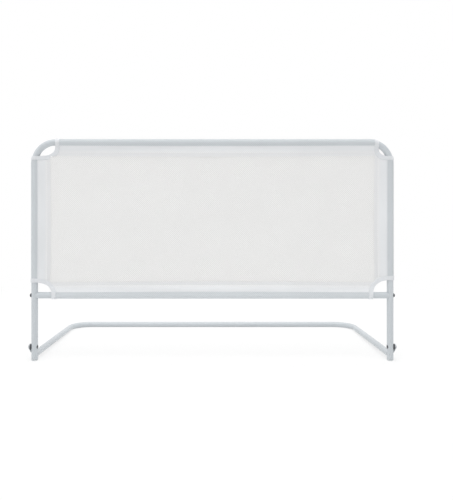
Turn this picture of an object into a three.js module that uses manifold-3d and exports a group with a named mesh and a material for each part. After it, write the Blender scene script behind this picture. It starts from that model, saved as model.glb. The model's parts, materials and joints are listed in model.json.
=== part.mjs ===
// Folding bed guard rail: a bent tube frame with a stretched net, and a bent tube base on two pivots.
// Millimetres. +Z is up, +X is along the rail, and the base reaches out along +Y, under the mattress.

import * as THREE from 'three';
import { mergeVertices } from 'three/addons/utils/BufferGeometryUtils.js';
import Module from 'manifold-3d';

const wasm = await Module();
wasm.setup();

// Overall sizes
const RAIL_WIDTH = 900;
const RAIL_HEIGHT = 550;
const BASE_REACH = 395;

// Tube of the frame, the crossbar and the base
const TUBE_DIAMETER = 16;
const TUBE_WALL = 1.2;
const FRAME_BEND_RADIUS = 52;
const BASE_BEND_RADIUS = 58;
const CROSSBAR_HEIGHT = 162;

// Gaps: between pieces that touch, and between the folded base and the cover's tape
const FIT_GAP = 0.3;
const FOLDED_GAP = 1.1;

// How far a cutting solid runs past what it cuts
const OVERRUN = 2;

// Net cover: net, tape and the depth of each sleeve from its tube's axis to its seam
const NET_THICKNESS = 0.8;
const TAPE_THICKNESS = 1.6;
const TAPE_WIDTH = 10.5;
const TOP_SLEEVE_DEPTH = 34;
const SIDE_SLEEVE_DEPTH = 39;
const BOTTOM_SLEEVE_DEPTH = 33;
const SEAM_WIDTH = 10;

// Rounded cut-outs of the cover: how far they pass the seams
const TOP_CUTOUT_PAST_SIDE_SEAM = 2.5;
const BOTTOM_CUTOUT_PAST_SIDE_SEAM = 5;
const BOTTOM_CUTOUT_PAST_SEAM = 2.5;

// How far the cover has crept to the right on the top tube, and up on the right leg and down on the left one
const TOP_CREEP = 11.5;
const SIDE_CREEP = 3.2;

// How square the cut-outs are: 2 gives an oval, and more gives flatter sides and tighter corners
const TOP_SQUARENESS = 3.2;
const BOTTOM_SQUARENESS = 2.2;

// Open pattern of the net
const NET_COLUMNS = 18;
const NET_ROWS = 7;
const NET_GAP_SHARE = 0.7;

// Pivots: how high the base's near end lies, and the bolt, its washer and its nut
const BASE_LIFT = 7;
const PIVOT_SHANK_DIAMETER = 6;
const PIVOT_HEAD_DIAMETER = 11;
const PIVOT_HEAD_HEIGHT = 3.2;
const PIVOT_WASHER_DIAMETER = 14.5;
const PIVOT_WASHER_THICKNESS = 2.4;
const PIVOT_NUT_DIAMETER = 10;
const PIVOT_NUT_RECESS = 0.4;
const PIVOT_NUT_FLOOR = 2.5;
const PIVOT_NUT_CHAMFER = 0.6;

// Hinge plates, with the step between eye and rivets, and the rivets: how far past the plug's stem
// the first one starts, and their spacing
const PLATE_THICKNESS = 1.5;
const PLATE_STEP_LENGTH = 5;
const PLATE_PIVOT_RADIUS = 7.5;
const PLATE_END_RADIUS = 8;
const PLATE_END_RISE = 2;
const RIVET_PAST_STEM = 2;
const RIVET_SPACING = 16;
const RIVET_SHANK_DIAMETER = 4;
const RIVET_HEAD_DIAMETER = 7.6;
const RIVET_HEAD_HEIGHT = 1.5;
const RIVET_TAIL_DIAMETER = 5.8;
const RIVET_TAIL_HEIGHT = 2.2;

// Crossbar screws and the threaded plugs that they enter
const SCREW_SHANK_DIAMETER = 5;
const SCREW_HEAD_DIAMETER = 9.6;
const SCREW_HEAD_HEIGHT = 3.6;
const SCREW_GRIP = 14;
const CROSSBAR_PLUG_LENGTH = 22;

// Foot caps and base end plugs
const FOOT_FLANGE = 4;
const FOOT_CHAMFER = 1.4;
const FOOT_STEM = 12;
const END_FLANGE = 2;
const END_CHAMFER = 0.8;
const END_STEM = 6;
const STEM_LEAD = 0.8;

// Facets
const TUBE_SIDES = 16;
const BEND_STEPS = 8;
const TURNED_SIDES = 12;
const DOME_STEPS = 3;
const CUTOUT_SIDES = 36;

// Sizes and places worked out from the ones above
const tubeRadius = TUBE_DIAMETER / 2;
const boreRadius = tubeRadius - TUBE_WALL;
const legX = RAIL_WIDTH / 2 - tubeRadius;
const topZ = RAIL_HEIGHT - tubeRadius;
const coverBoreRadius = tubeRadius + FIT_GAP;
const sleeveRadius = coverBoreRadius + NET_THICKNESS;
const tapeRadius = coverBoreRadius + TAPE_THICKNESS;
const baseDrop = tapeRadius + FOLDED_GAP + tubeRadius;
const pivotZ = BASE_LIFT + tubeRadius + baseDrop;
const legEndZ = FOOT_FLANGE + FIT_GAP;
const plateInset = tubeRadius + FIT_GAP;
const washerInset = tubeRadius + FIT_GAP;
const eyeInset = washerInset + PIVOT_WASHER_THICKNESS + FIT_GAP;
const pivotHeadInset = eyeInset + PLATE_THICKNESS + FIT_GAP;
const nutRadius = PIVOT_NUT_DIAMETER / 2;
const netTopZ = topZ - TOP_SLEEVE_DEPTH;
const netBottomZ = CROSSBAR_HEIGHT + BOTTOM_SLEEVE_DEPTH;
const netSideX = legX - SIDE_SLEEVE_DEPTH;

// The base slopes down so that its far bar lies on the floor, and starts just behind the round of the legs
const baseSlope = Math.asin((pivotZ - tubeRadius) / Math.hypot(BASE_REACH, baseDrop))
  - Math.atan2(baseDrop, BASE_REACH);
const baseTuck = (baseDrop + tubeRadius) * Math.sin(baseSlope);
const baseStart = (tubeRadius + FIT_GAP + baseTuck) / Math.cos(baseSlope);
const firstRivetReach = baseStart + END_FLANGE + END_STEM + RIVET_PAST_STEM + RIVET_TAIL_DIAMETER / 2;
const secondRivetReach = firstRivetReach + RIVET_SPACING;
const backY = BASE_REACH * Math.cos(baseSlope) - baseDrop * Math.sin(baseSlope) + tubeRadius;
const centreY = (backY - tapeRadius) / 2;

const SIDES = [
  { name: 'left', sign: -1 },
  { name: 'right', sign: 1 },
];

const X_AXIS = new THREE.Vector3(1, 0, 0);
const Y_AXIS = new THREE.Vector3(0, 1, 0);
const Z_AXIS = new THREE.Vector3(0, 0, 1);
const MINUS_X_AXIS = new THREE.Vector3(-1, 0, 0);
const MINUS_Z_AXIS = new THREE.Vector3(0, 0, -1);

// Finishes
const paint = { color: 0xe4e8ec, roughness: 0.38, metalness: 0.1 };
const netFabric = { color: 0xe8e8e6, roughness: 0.9, metalness: 0 };
const sleeveFabric = { color: 0xe0e4e8, roughness: 0.9, metalness: 0 };
const tapeFabric = { color: 0xeceef0, roughness: 0.85, metalness: 0 };
const darkSteel = { color: 0x4a4c50, roughness: 0.4, metalness: 0.8 };
const zincSteel = { color: 0xa8acb0, roughness: 0.35, metalness: 0.9 };
const blackPlastic = { color: 0x2a2b2d, roughness: 0.6, metalness: 0 };
const palePlastic = { color: 0xdcdfe1, roughness: 0.55, metalness: 0 };

// A route of straight runs and round bends, with one step for each run and several for each bend
class BentRoute extends THREE.Curve {
  constructor(corners, bendRadius) {
    super();
    this.stations = [corners[0]];
    for (let index = 1; index < corners.length - 1; index += 1) {
      this.addBend(corners[index - 1], corners[index], corners[index + 1], bendRadius);
    }
    this.stations.push(corners[corners.length - 1]);
  }

  // A quarter bend between two runs that meet square
  addBend(before, corner, after, bendRadius) {
    const inward = before.clone().sub(corner).setLength(bendRadius);
    const onward = after.clone().sub(corner).setLength(bendRadius);
    const centre = corner.clone().add(inward).add(onward);
    for (let step = 0; step <= BEND_STEPS; step += 1) {
      const angle = (Math.PI / 2) * (step / BEND_STEPS);
      this.stations.push(centre.clone()
        .addScaledVector(onward, -Math.cos(angle))
        .addScaledVector(inward, -Math.sin(angle)));
    }
  }

  get steps() {
    return this.stations.length - 1;
  }

  getUtoTmapping(share) {
    return share;
  }

  getPoint(share, target = new THREE.Vector3()) {
    const place = share * this.steps;
    const index = Math.min(Math.floor(place), this.steps - 1);
    return target.lerpVectors(this.stations[index], this.stations[index + 1], place - index);
  }
}

// A round outline, with a round hole where one is asked for
function roundShape(radius, holeRadius = 0) {
  const shape = new THREE.Shape().absarc(0, 0, radius, 0, 2 * Math.PI);
  if (holeRadius > 0) {
    shape.holes.push(new THREE.Path().absarc(0, 0, holeRadius, 0, 2 * Math.PI));
  }
  return shape;
}

// A tube or a bar along a route
function alongRoute(route, radius, holeRadius = 0) {
  return new THREE.ExtrudeGeometry(roundShape(radius, holeRadius), {
    extrudePath: route,
    steps: route.steps,
    curveSegments: TUBE_SIDES / 2,
  });
}

// An outline drawn in X and Z, given a thickness along Y and centred on the frame's plane
function acrossFrame(shape, thickness, curveSegments = CUTOUT_SIDES / 2) {
  const geometry = new THREE.ExtrudeGeometry(shape,
    { depth: thickness, bevelEnabled: false, curveSegments });
  return geometry.rotateX(Math.PI / 2).translate(0, thickness / 2, 0);
}

// A solid for joining and cutting, from a closed geometry
function solidOf(geometry) {
  const bare = new THREE.BufferGeometry();
  bare.setAttribute('position', geometry.getAttribute('position'));
  bare.setIndex(geometry.getIndex());
  const merged = mergeVertices(bare);
  return new wasm.Manifold(new wasm.Mesh({
    numProp: 3,
    vertProperties: new Float32Array(merged.getAttribute('position').array),
    triVerts: new Uint32Array(merged.getIndex().array),
  }));
}

// The geometry of a joined or cut solid
function geometryOf(solid) {
  const mesh = solid.getMesh();
  const geometry = new THREE.BufferGeometry();
  geometry.setAttribute('position', new THREE.BufferAttribute(mesh.vertProperties, 3));
  geometry.setIndex(new THREE.BufferAttribute(mesh.triVerts, 1));
  geometry.computeVertexNormals();
  return geometry;
}

// A round cutter along X between two places
function drill(fromX, toX, z, radius) {
  const cutter = new THREE.CylinderGeometry(radius, radius, Math.abs(toX - fromX), TURNED_SIDES);
  return solidOf(cutter.rotateZ(Math.PI / 2).translate((fromX + toX) / 2, 0, z));
}

function part(name, geometry, finish) {
  const mesh = new THREE.Mesh(geometry, new THREE.MeshStandardMaterial(finish));
  mesh.name = name;
  return mesh;
}

// A turned piece whose profile runs outwards from the rail, at a height on a leg's axis
function turnedPart(name, profile, finish, side, y, z) {
  const mesh = part(name, new THREE.LatheGeometry(profile, TURNED_SIDES), finish);
  mesh.rotation.z = -side.sign * Math.PI / 2;
  mesh.position.set(side.sign * legX, y, z);
  return mesh;
}

// Profile points of a domed head, from its rim to its crown
function domePoints(radius, height, baseY) {
  const points = [];
  for (let step = 0; step <= DOME_STEPS; step += 1) {
    const angle = (Math.PI / 2) * (step / DOME_STEPS);
    const reach = step === DOME_STEPS ? 0 : radius * Math.cos(angle);
    points.push(new THREE.Vector2(reach, baseY + height * Math.sin(angle)));
  }
  return points;
}

function ringProfile(outerRadius, innerRadius, startY, endY) {
  return [
    new THREE.Vector2(outerRadius, startY),
    new THREE.Vector2(outerRadius, endY),
    new THREE.Vector2(innerRadius, endY),
    new THREE.Vector2(innerRadius, startY),
    new THREE.Vector2(outerRadius, startY),
  ];
}

// Bolt or screw with a domed head, its shank running inwards to the given place
function bolt(name, side, z, finish, size) {
  const profile = [
    new THREE.Vector2(0, size.tipY),
    new THREE.Vector2(size.shankDiameter / 2, size.tipY),
    new THREE.Vector2(size.shankDiameter / 2, size.headY),
    ...domePoints(size.headDiameter / 2, size.headHeight, size.headY),
  ];
  return turnedPart(name, profile, finish, side, 0, z);
}

// Cap or plug: a chamfered flange of the tube's own size and a stem inside the bore
function plugProfile(flange, chamfer, stem) {
  const stemRadius = boreRadius - FIT_GAP;
  return [
    new THREE.Vector2(0, 0),
    new THREE.Vector2(tubeRadius - chamfer, 0),
    new THREE.Vector2(tubeRadius, chamfer),
    new THREE.Vector2(tubeRadius, flange),
    new THREE.Vector2(stemRadius, flange),
    new THREE.Vector2(stemRadius, flange + stem - STEM_LEAD),
    new THREE.Vector2(stemRadius - STEM_LEAD, flange + stem),
    new THREE.Vector2(0, flange + stem),
  ];
}

const frameRoute = new BentRoute([
  new THREE.Vector3(-legX, 0, legEndZ),
  new THREE.Vector3(-legX, 0, topZ),
  new THREE.Vector3(legX, 0, topZ),
  new THREE.Vector3(legX, 0, legEndZ),
], FRAME_BEND_RADIUS);

const crossbarRoute = new BentRoute([
  new THREE.Vector3(-legX, 0, CROSSBAR_HEIGHT),
  new THREE.Vector3(legX, 0, CROSSBAR_HEIGHT),
], 0);

// Guard frame tube, drilled for the pivots and the crossbar screws
function guardFrameTube() {
  let solid = solidOf(alongRoute(frameRoute, tubeRadius, boreRadius));
  for (const side of SIDES) {
    const outerX = side.sign * (legX + tubeRadius + OVERRUN);
    const innerX = side.sign * (legX - tubeRadius - OVERRUN);
    const axisX = side.sign * legX;
    solid = solid
      .subtract(drill(axisX, outerX, pivotZ, PIVOT_SHANK_DIAMETER / 2 + FIT_GAP))
      .subtract(drill(axisX, innerX, pivotZ, nutRadius + FIT_GAP))
      .subtract(drill(innerX, outerX, CROSSBAR_HEIGHT, SCREW_SHANK_DIAMETER / 2 + FIT_GAP));
  }
  return part('guard_frame_tube', geometryOf(solid), paint);
}

// Crossbar tube, coped at both ends to the round of the legs
function crossbarTube() {
  let solid = solidOf(alongRoute(crossbarRoute, tubeRadius, boreRadius));
  for (const side of SIDES) {
    const leg = new THREE.CylinderGeometry(coverBoreRadius, coverBoreRadius,
      TUBE_DIAMETER + 2 * OVERRUN, TUBE_SIDES);
    leg.rotateX(Math.PI / 2).translate(side.sign * legX, 0, CROSSBAR_HEIGHT);
    solid = solid.subtract(solidOf(leg));
  }
  return part('crossbar_tube', geometryOf(solid), paint);
}

function crossbarPlug(side) {
  const endY = -tubeRadius - FIT_GAP;
  const profile = ringProfile(boreRadius - FIT_GAP, SCREW_SHANK_DIAMETER / 2 + FIT_GAP,
    endY - CROSSBAR_PLUG_LENGTH, endY);
  return turnedPart(`crossbar_plug_${side.name}`, profile, blackPlastic, side, 0, CROSSBAR_HEIGHT);
}

function crossbarScrew(side) {
  return bolt(`crossbar_screw_${side.name}`, side, CROSSBAR_HEIGHT, darkSteel, {
    shankDiameter: SCREW_SHANK_DIAMETER,
    headDiameter: SCREW_HEAD_DIAMETER,
    headHeight: SCREW_HEAD_HEIGHT,
    headY: tubeRadius + FIT_GAP,
    tipY: -tubeRadius - SCREW_GRIP,
  });
}

function footCap(side) {
  const profile = plugProfile(FOOT_FLANGE, FOOT_CHAMFER, FOOT_STEM);
  const mesh = part(`foot_cap_${side.name}`, new THREE.LatheGeometry(profile, TUBE_SIDES), palePlastic);
  mesh.rotation.x = Math.PI / 2;
  mesh.position.x = side.sign * legX;
  return mesh;
}

// The pivot nut, inside the leg: its end against the outer wall's round bore, and its face that shows
const nutSeatY = Math.sqrt(boreRadius ** 2 - nutRadius ** 2) - FIT_GAP;
const nutFaceY = PIVOT_NUT_RECESS - tubeRadius;

function pivotBolt(side) {
  return bolt(`pivot_bolt_${side.name}`, side, pivotZ, zincSteel, {
    shankDiameter: PIVOT_SHANK_DIAMETER,
    headDiameter: PIVOT_HEAD_DIAMETER,
    headHeight: PIVOT_HEAD_HEIGHT,
    headY: pivotHeadInset,
    tipY: nutFaceY + PIVOT_NUT_FLOOR + FIT_GAP,
  });
}

function pivotWasher(side) {
  const profile = ringProfile(PIVOT_WASHER_DIAMETER / 2, PIVOT_SHANK_DIAMETER / 2 + FIT_GAP,
    washerInset, washerInset + PIVOT_WASHER_THICKNESS);
  return turnedPart(`pivot_washer_${side.name}`, profile, blackPlastic, side, 0, pivotZ);
}

// Barrel nut, open to the bolt and closed on the side that shows
function pivotNut(side) {
  const threadRadius = PIVOT_SHANK_DIAMETER / 2 + FIT_GAP;
  const profile = [
    new THREE.Vector2(0, nutFaceY),
    new THREE.Vector2(nutRadius - PIVOT_NUT_CHAMFER, nutFaceY),
    new THREE.Vector2(nutRadius, nutFaceY + PIVOT_NUT_CHAMFER),
    new THREE.Vector2(nutRadius, nutSeatY),
    new THREE.Vector2(threadRadius, nutSeatY),
    new THREE.Vector2(threadRadius, nutFaceY + PIVOT_NUT_FLOOR),
    new THREE.Vector2(0, nutFaceY + PIVOT_NUT_FLOOR),
  ];
  return turnedPart(`pivot_nut_${side.name}`, profile, darkSteel, side, 0, pivotZ);
}

// Flat part of a sleeve's section: the fabric leaves the tube on both faces and meets at the seam
function sleeveFlat(radius, depth, seamHalf) {
  const touchX = radius ** 2 / depth;
  const touchY = Math.sqrt(radius ** 2 - touchX ** 2);
  const meetX = depth - SEAM_WIDTH;
  const shape = new THREE.Shape().moveTo(touchX, -touchY);
  shape.lineTo(meetX, -seamHalf);
  if (seamHalf > 0) {
    shape.lineTo(depth, -seamHalf);
    shape.lineTo(depth, seamHalf);
    shape.lineTo(meetX, seamHalf);
  }
  shape.lineTo(touchX, touchY);
  return shape;
}

// Sleeves: where each tube's axis starts, which way the seam lies, and the run along the tube
const SLEEVES = {
  left: { depth: SIDE_SLEEVE_DEPTH, start: [-legX, CROSSBAR_HEIGHT], seam: X_AXIS, run: Z_AXIS },
  right: { depth: SIDE_SLEEVE_DEPTH, start: [legX, CROSSBAR_HEIGHT], seam: MINUS_X_AXIS, run: Z_AXIS },
  top: { depth: TOP_SLEEVE_DEPTH, start: [-legX, topZ], seam: MINUS_Z_AXIS, run: X_AXIS },
  bottom: { depth: BOTTOM_SLEEVE_DEPTH, start: [-legX, CROSSBAR_HEIGHT], seam: Z_AXIS, run: X_AXIS },
};

// The flat part of one sleeve as a solid, for the whole run between the corners
function sleeveFlatSolid(sleeve, radius, seamHalf) {
  const length = sleeve.run === X_AXIS ? 2 * legX : topZ - CROSSBAR_HEIGHT;
  const geometry = new THREE.ExtrudeGeometry(sleeveFlat(radius, sleeve.depth, seamHalf),
    { depth: length, bevelEnabled: false });
  const across = new THREE.Vector3().crossVectors(sleeve.run, sleeve.seam);
  const place = new THREE.Matrix4().makeBasis(sleeve.seam, across, sleeve.run);
  place.setPosition(sleeve.start[0], 0, sleeve.start[1]);
  return solidOf(geometry.applyMatrix4(place));
}

// Frame and crossbar as plain bars of a given radius, for fabric that wraps them
function barsOf(radius) {
  return {
    frame: solidOf(alongRoute(frameRoute, radius)),
    crossbar: solidOf(alongRoute(crossbarRoute, radius)),
  };
}

const boreBars = barsOf(coverBoreRadius);
const sleeveBars = barsOf(sleeveRadius);
const tapeBars = barsOf(tapeRadius);

// Rounded cut-outs, one at each corner of the cover, centred where the tube axes cross
const CUTOUTS = [];
for (const side of SIDES) {
  CUTOUTS.push({
    name: `top_${side.name}`,
    sleeves: [SLEEVES[side.name], SLEEVES.top],
    bar: 'frame',
    centre: [side.sign * legX, topZ],
    reach: [SIDE_SLEEVE_DEPTH + TOP_CUTOUT_PAST_SIDE_SEAM - side.sign * TOP_CREEP, TOP_SLEEVE_DEPTH],
    squareness: TOP_SQUARENESS,
  });
  CUTOUTS.push({
    name: `bottom_${side.name}`,
    sleeves: [SLEEVES[side.name], SLEEVES.bottom],
    bar: 'crossbar',
    centre: [side.sign * legX, CROSSBAR_HEIGHT],
    reach: [
      SIDE_SLEEVE_DEPTH + BOTTOM_CUTOUT_PAST_SIDE_SEAM,
      BOTTOM_SLEEVE_DEPTH + BOTTOM_CUTOUT_PAST_SEAM + side.sign * SIDE_CREEP,
    ],
    squareness: BOTTOM_SQUARENESS,
  });
}

const coverDepth = 2 * (tapeRadius + OVERRUN);

// The rounded column that a cut-out takes away, widened where a border goes round it
function cutoutColumn(cutout, border) {
  const bowed = (share) => Math.sign(share) * Math.abs(share) ** (2 / cutout.squareness);
  const outline = [];
  for (let step = 0; step < CUTOUT_SIDES; step += 1) {
    const angle = 2 * Math.PI * (step / CUTOUT_SIDES);
    outline.push(new THREE.Vector2(
      cutout.centre[0] + (cutout.reach[0] + border) * bowed(Math.cos(angle)),
      cutout.centre[1] + (cutout.reach[1] + border) * bowed(Math.sin(angle)),
    ));
  }
  return solidOf(acrossFrame(new THREE.Shape(outline), coverDepth));
}

const cutoutBorders = CUTOUTS.map((cutout) => cutoutColumn(cutout, TAPE_WIDTH + FIT_GAP));

// A block of the cover's plane between two corners, for keeping what lies in it
function window(lowX, lowZ, highX, highZ) {
  const shape = new THREE.Shape().moveTo(lowX, lowZ).lineTo(highX, lowZ).lineTo(highX, highZ);
  shape.lineTo(lowX, highZ);
  return solidOf(acrossFrame(shape, coverDepth));
}

// Where each sleeve's fabric lies, from outside its tube to its seam
const outerEdge = tapeRadius + OVERRUN;
const SLEEVE_WINDOWS = {
  left: [-legX - outerEdge, CROSSBAR_HEIGHT, -netSideX, topZ],
  right: [netSideX, CROSSBAR_HEIGHT, legX + outerEdge, topZ],
  top: [FIT_GAP - netSideX, netTopZ, netSideX - FIT_GAP, topZ + outerEdge],
  bottom: [FIT_GAP - netSideX, CROSSBAR_HEIGHT - outerEdge, netSideX - FIT_GAP, netBottomZ],
};

function coverSleeve(name) {
  const sleeve = SLEEVES[name];
  const bar = name === 'bottom' ? 'crossbar' : 'frame';
  let solid = sleeveBars[bar]
    .add(sleeveFlatSolid(sleeve, sleeveRadius, NET_THICKNESS))
    .subtract(boreBars[bar])
    .subtract(sleeveFlatSolid(sleeve, coverBoreRadius, 0))
    .intersect(window(...SLEEVE_WINDOWS[name]));
  for (const border of cutoutBorders) {
    solid = solid.subtract(border);
  }
  return part(`sleeve_${name}`, geometryOf(solid), sleeveFabric);
}

// Tape folded over the edge of a rounded cut-out and round the sleeve ends beside it
function cornerBinding(cutout) {
  let outside = tapeBars.frame;
  let inside = boreBars.frame;
  if (cutout.bar === 'crossbar') {
    outside = outside.add(tapeBars.crossbar);
    inside = inside.add(boreBars.crossbar);
  }
  for (const sleeve of cutout.sleeves) {
    outside = outside.add(sleeveFlatSolid(sleeve, tapeRadius, TAPE_THICKNESS));
    inside = inside.add(sleeveFlatSolid(sleeve, coverBoreRadius, 0));
  }
  const band = cutoutColumn(cutout, TAPE_WIDTH).subtract(cutoutColumn(cutout, 0));
  const [x, z] = cutout.centre;
  const inwards = -Math.sign(x);
  const upwards = cutout.bar === 'crossbar' ? 1 : -1;
  const farX = x + inwards * (cutout.reach[0] + TAPE_WIDTH + OVERRUN);
  const farZ = z + upwards * (cutout.reach[1] + TAPE_WIDTH + OVERRUN);
  const nearX = x - inwards * outerEdge;
  const nearZ = z - upwards * outerEdge;
  const corner = window(
    Math.min(nearX, farX),
    Math.min(nearZ, farZ),
    Math.max(nearX, farX),
    Math.max(nearZ, farZ),
  );
  const solid = outside.subtract(inside).intersect(band).intersect(corner);
  return part(`corner_binding_${cutout.name}`, geometryOf(solid), tapeFabric);
}

// A diamond of the net's open pattern
function diamond(x, z, halfX, halfZ) {
  const shape = new THREE.Shape().moveTo(x - halfX, z).lineTo(x, z - halfZ);
  return shape.lineTo(x + halfX, z).lineTo(x, z + halfZ);
}

// Net panel between the seams, with an open pattern of diamonds in staggered rows
function meshPanel() {
  const lowX = FIT_GAP - netSideX;
  const lowZ = netBottomZ + FIT_GAP;
  const stepX = -2 * lowX / NET_COLUMNS;
  const stepZ = (netTopZ - FIT_GAP - lowZ) / NET_ROWS;
  const sheet = new THREE.Shape().moveTo(lowX, lowZ).lineTo(-lowX, lowZ);
  sheet.lineTo(-lowX, netTopZ - FIT_GAP).lineTo(lowX, netTopZ - FIT_GAP);
  const openings = [];
  for (const shift of [0, 1]) {
    for (let column = 0; column < NET_COLUMNS - shift; column += 1) {
      for (let row = 0; row < NET_ROWS - shift; row += 1) {
        const x = lowX + (column + (1 + shift) / 2) * stepX;
        const z = lowZ + (row + (1 + shift) / 2) * stepZ;
        openings.push(diamond(x, z, stepX * NET_GAP_SHARE / 2, stepZ * NET_GAP_SHARE / 2));
      }
    }
  }
  const gaps = solidOf(acrossFrame(openings, coverDepth));
  let solid = solidOf(acrossFrame(sheet, NET_THICKNESS)).subtract(gaps);
  for (const border of cutoutBorders) {
    solid = solid.subtract(border);
  }
  return part('mesh_panel', geometryOf(solid), netFabric);
}

// Base tube about its pivot: out from behind each leg, round two bends and across
function baseTube() {
  const startY = baseStart + END_FLANGE + FIT_GAP;
  const route = new BentRoute([
    new THREE.Vector3(-legX, startY, -baseDrop),
    new THREE.Vector3(-legX, BASE_REACH, -baseDrop),
    new THREE.Vector3(legX, BASE_REACH, -baseDrop),
    new THREE.Vector3(legX, startY, -baseDrop),
  ], BASE_BEND_RADIUS);
  let solid = solidOf(alongRoute(route, tubeRadius, boreRadius));
  for (const side of SIDES) {
    for (const reach of [firstRivetReach, secondRivetReach]) {
      const hole = drill(side.sign * legX, side.sign * (legX + tubeRadius + OVERRUN), -baseDrop,
        RIVET_SHANK_DIAMETER / 2 + FIT_GAP);
      solid = solid.subtract(hole.translate([0, reach, 0]));
    }
  }
  return part('base_tube', geometryOf(solid), paint);
}

function baseEndPlug(side) {
  const profile = plugProfile(END_FLANGE, END_CHAMFER, END_STEM);
  const mesh = part(`base_end_plug_${side.name}`, new THREE.LatheGeometry(profile, TUBE_SIDES), palePlastic);
  mesh.position.set(side.sign * legX, baseStart, -baseDrop);
  return mesh;
}

// Outline round three circles in order, with straight sides that touch them
function outlineRound(circles) {
  const shape = new THREE.Shape();
  const touchAngle = (from, to) => {
    const apart = Math.hypot(to.x - from.x, to.y - from.y);
    return Math.atan2(to.y - from.y, to.x - from.x) - Math.acos((from.radius - to.radius) / apart);
  };
  circles.forEach((circle, index) => {
    const previous = circles[(index + circles.length - 1) % circles.length];
    const next = circles[(index + 1) % circles.length];
    shape.absarc(circle.x, circle.y, circle.radius, touchAngle(previous, circle), touchAngle(circle, next));
  });
  return shape;
}

// Hinge plate from above: its eye lies outside the washer, and a step brings it in against the base tube
function plateStep() {
  const stepY = PIVOT_WASHER_DIAMETER / 2 + FIT_GAP;
  const nearY = -PLATE_PIVOT_RADIUS - OVERRUN;
  const farY = secondRivetReach + PLATE_END_RADIUS + OVERRUN;
  const shape = new THREE.Shape().moveTo(nearY, eyeInset);
  shape.lineTo(stepY, eyeInset);
  shape.lineTo(stepY + PLATE_STEP_LENGTH, plateInset);
  shape.lineTo(farY, plateInset);
  shape.lineTo(farY, plateInset + PLATE_THICKNESS);
  shape.lineTo(stepY + PLATE_STEP_LENGTH, plateInset + PLATE_THICKNESS);
  shape.lineTo(stepY, eyeInset + PLATE_THICKNESS);
  shape.lineTo(nearY, eyeInset + PLATE_THICKNESS);
  return shape;
}

// Hinge plate: a stamped and stepped plate with a round eye on the pivot and two rivets in the base tube
function hingePlate(side) {
  const endZ = PLATE_END_RISE - baseDrop;
  const shape = outlineRound([
    { x: 0, y: 0, radius: PLATE_PIVOT_RADIUS },
    { x: firstRivetReach, y: endZ, radius: PLATE_END_RADIUS },
    { x: secondRivetReach, y: endZ, radius: PLATE_END_RADIUS },
  ]);
  const eye = new THREE.Path().absarc(0, 0, PIVOT_SHANK_DIAMETER / 2 + FIT_GAP, 0, 2 * Math.PI);
  shape.holes.push(eye);
  for (const reach of [firstRivetReach, secondRivetReach]) {
    const hole = new THREE.Path();
    hole.absarc(reach, -baseDrop, RIVET_SHANK_DIAMETER / 2 + FIT_GAP, 0, 2 * Math.PI);
    shape.holes.push(hole);
  }
  const blankDepth = eyeInset + PLATE_THICKNESS + OVERRUN;
  const blank = new THREE.ExtrudeGeometry(shape,
    { depth: blankDepth, bevelEnabled: false, curveSegments: TURNED_SIDES / 2 });
  blank.applyMatrix4(new THREE.Matrix4().makeBasis(Y_AXIS, Z_AXIS, X_AXIS));
  blank.translate(side.sign > 0 ? 0 : -blankDepth, 0, 0);

  const lowZ = endZ - PLATE_END_RADIUS - OVERRUN;
  const highZ = PLATE_PIVOT_RADIUS + OVERRUN;
  const step = new THREE.ExtrudeGeometry(plateStep(), { depth: highZ - lowZ, bevelEnabled: false });
  const outward = X_AXIS.clone().multiplyScalar(side.sign);
  const along = Z_AXIS.clone().multiplyScalar(-side.sign);
  step.applyMatrix4(new THREE.Matrix4().makeBasis(Y_AXIS, outward, along));
  step.translate(0, 0, side.sign > 0 ? highZ : lowZ);

  const mesh = part(`hinge_plate_${side.name}`, geometryOf(solidOf(blank).intersect(solidOf(step))), paint);
  mesh.position.x = side.sign * legX;
  return mesh;
}

// Rivet through the plate and the outer wall of the base tube, with its tail inside the bore
function plateRivet(side, number, reach) {
  const shankRadius = RIVET_SHANK_DIAMETER / 2;
  const tailRadius = RIVET_TAIL_DIAMETER / 2;
  const headY = plateInset + PLATE_THICKNESS + FIT_GAP;
  const tailY = Math.sqrt(boreRadius ** 2 - tailRadius ** 2) - FIT_GAP;
  const profile = [
    new THREE.Vector2(0, tailY - RIVET_TAIL_HEIGHT),
    new THREE.Vector2(tailRadius, tailY - RIVET_TAIL_HEIGHT),
    new THREE.Vector2(tailRadius, tailY),
    new THREE.Vector2(shankRadius, tailY),
    new THREE.Vector2(shankRadius, headY),
    ...domePoints(RIVET_HEAD_DIAMETER / 2, RIVET_HEAD_HEIGHT, headY),
  ];
  return turnedPart(`plate_rivet_${side.name}_${number}`, profile, zincSteel, side, reach, -baseDrop);
}

const guardFrame = new THREE.Group();
guardFrame.add(guardFrameTube(), crossbarTube(), meshPanel());
for (const name of Object.keys(SLEEVES)) {
  guardFrame.add(coverSleeve(name));
}
for (const cutout of CUTOUTS) {
  guardFrame.add(cornerBinding(cutout));
}

const base = new THREE.Group();
base.position.z = pivotZ;
base.rotation.x = -baseSlope;
base.add(baseTube());

for (const side of SIDES) {
  guardFrame.add(crossbarPlug(side), crossbarScrew(side), footCap(side));
  guardFrame.add(pivotBolt(side), pivotWasher(side), pivotNut(side));
  base.add(baseEndPlug(side), hingePlate(side));
  base.add(plateRivet(side, 1, firstRivetReach), plateRivet(side, 2, secondRivetReach));
}

const rail = new THREE.Group();
rail.position.y = -centreY;
rail.add(guardFrame, base);

console.log(`pivot axis at y ${(-centreY).toFixed(3)}, z ${pivotZ.toFixed(3)}`);
console.log(`base slope ${THREE.MathUtils.radToDeg(baseSlope).toFixed(3)} degrees`);

export default rail;
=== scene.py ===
"""Looks of a folding bed guard rail: a bent tube frame with a net cover, and a folding tube base."""

import json
import logging
import math
from collections.abc import Callable, Iterable, Sequence
from dataclasses import dataclass, field
from enum import Enum

import bmesh
import bpy
from mathutils import Matrix, Vector
from mathutils.bvhtree import BVHTree


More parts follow.
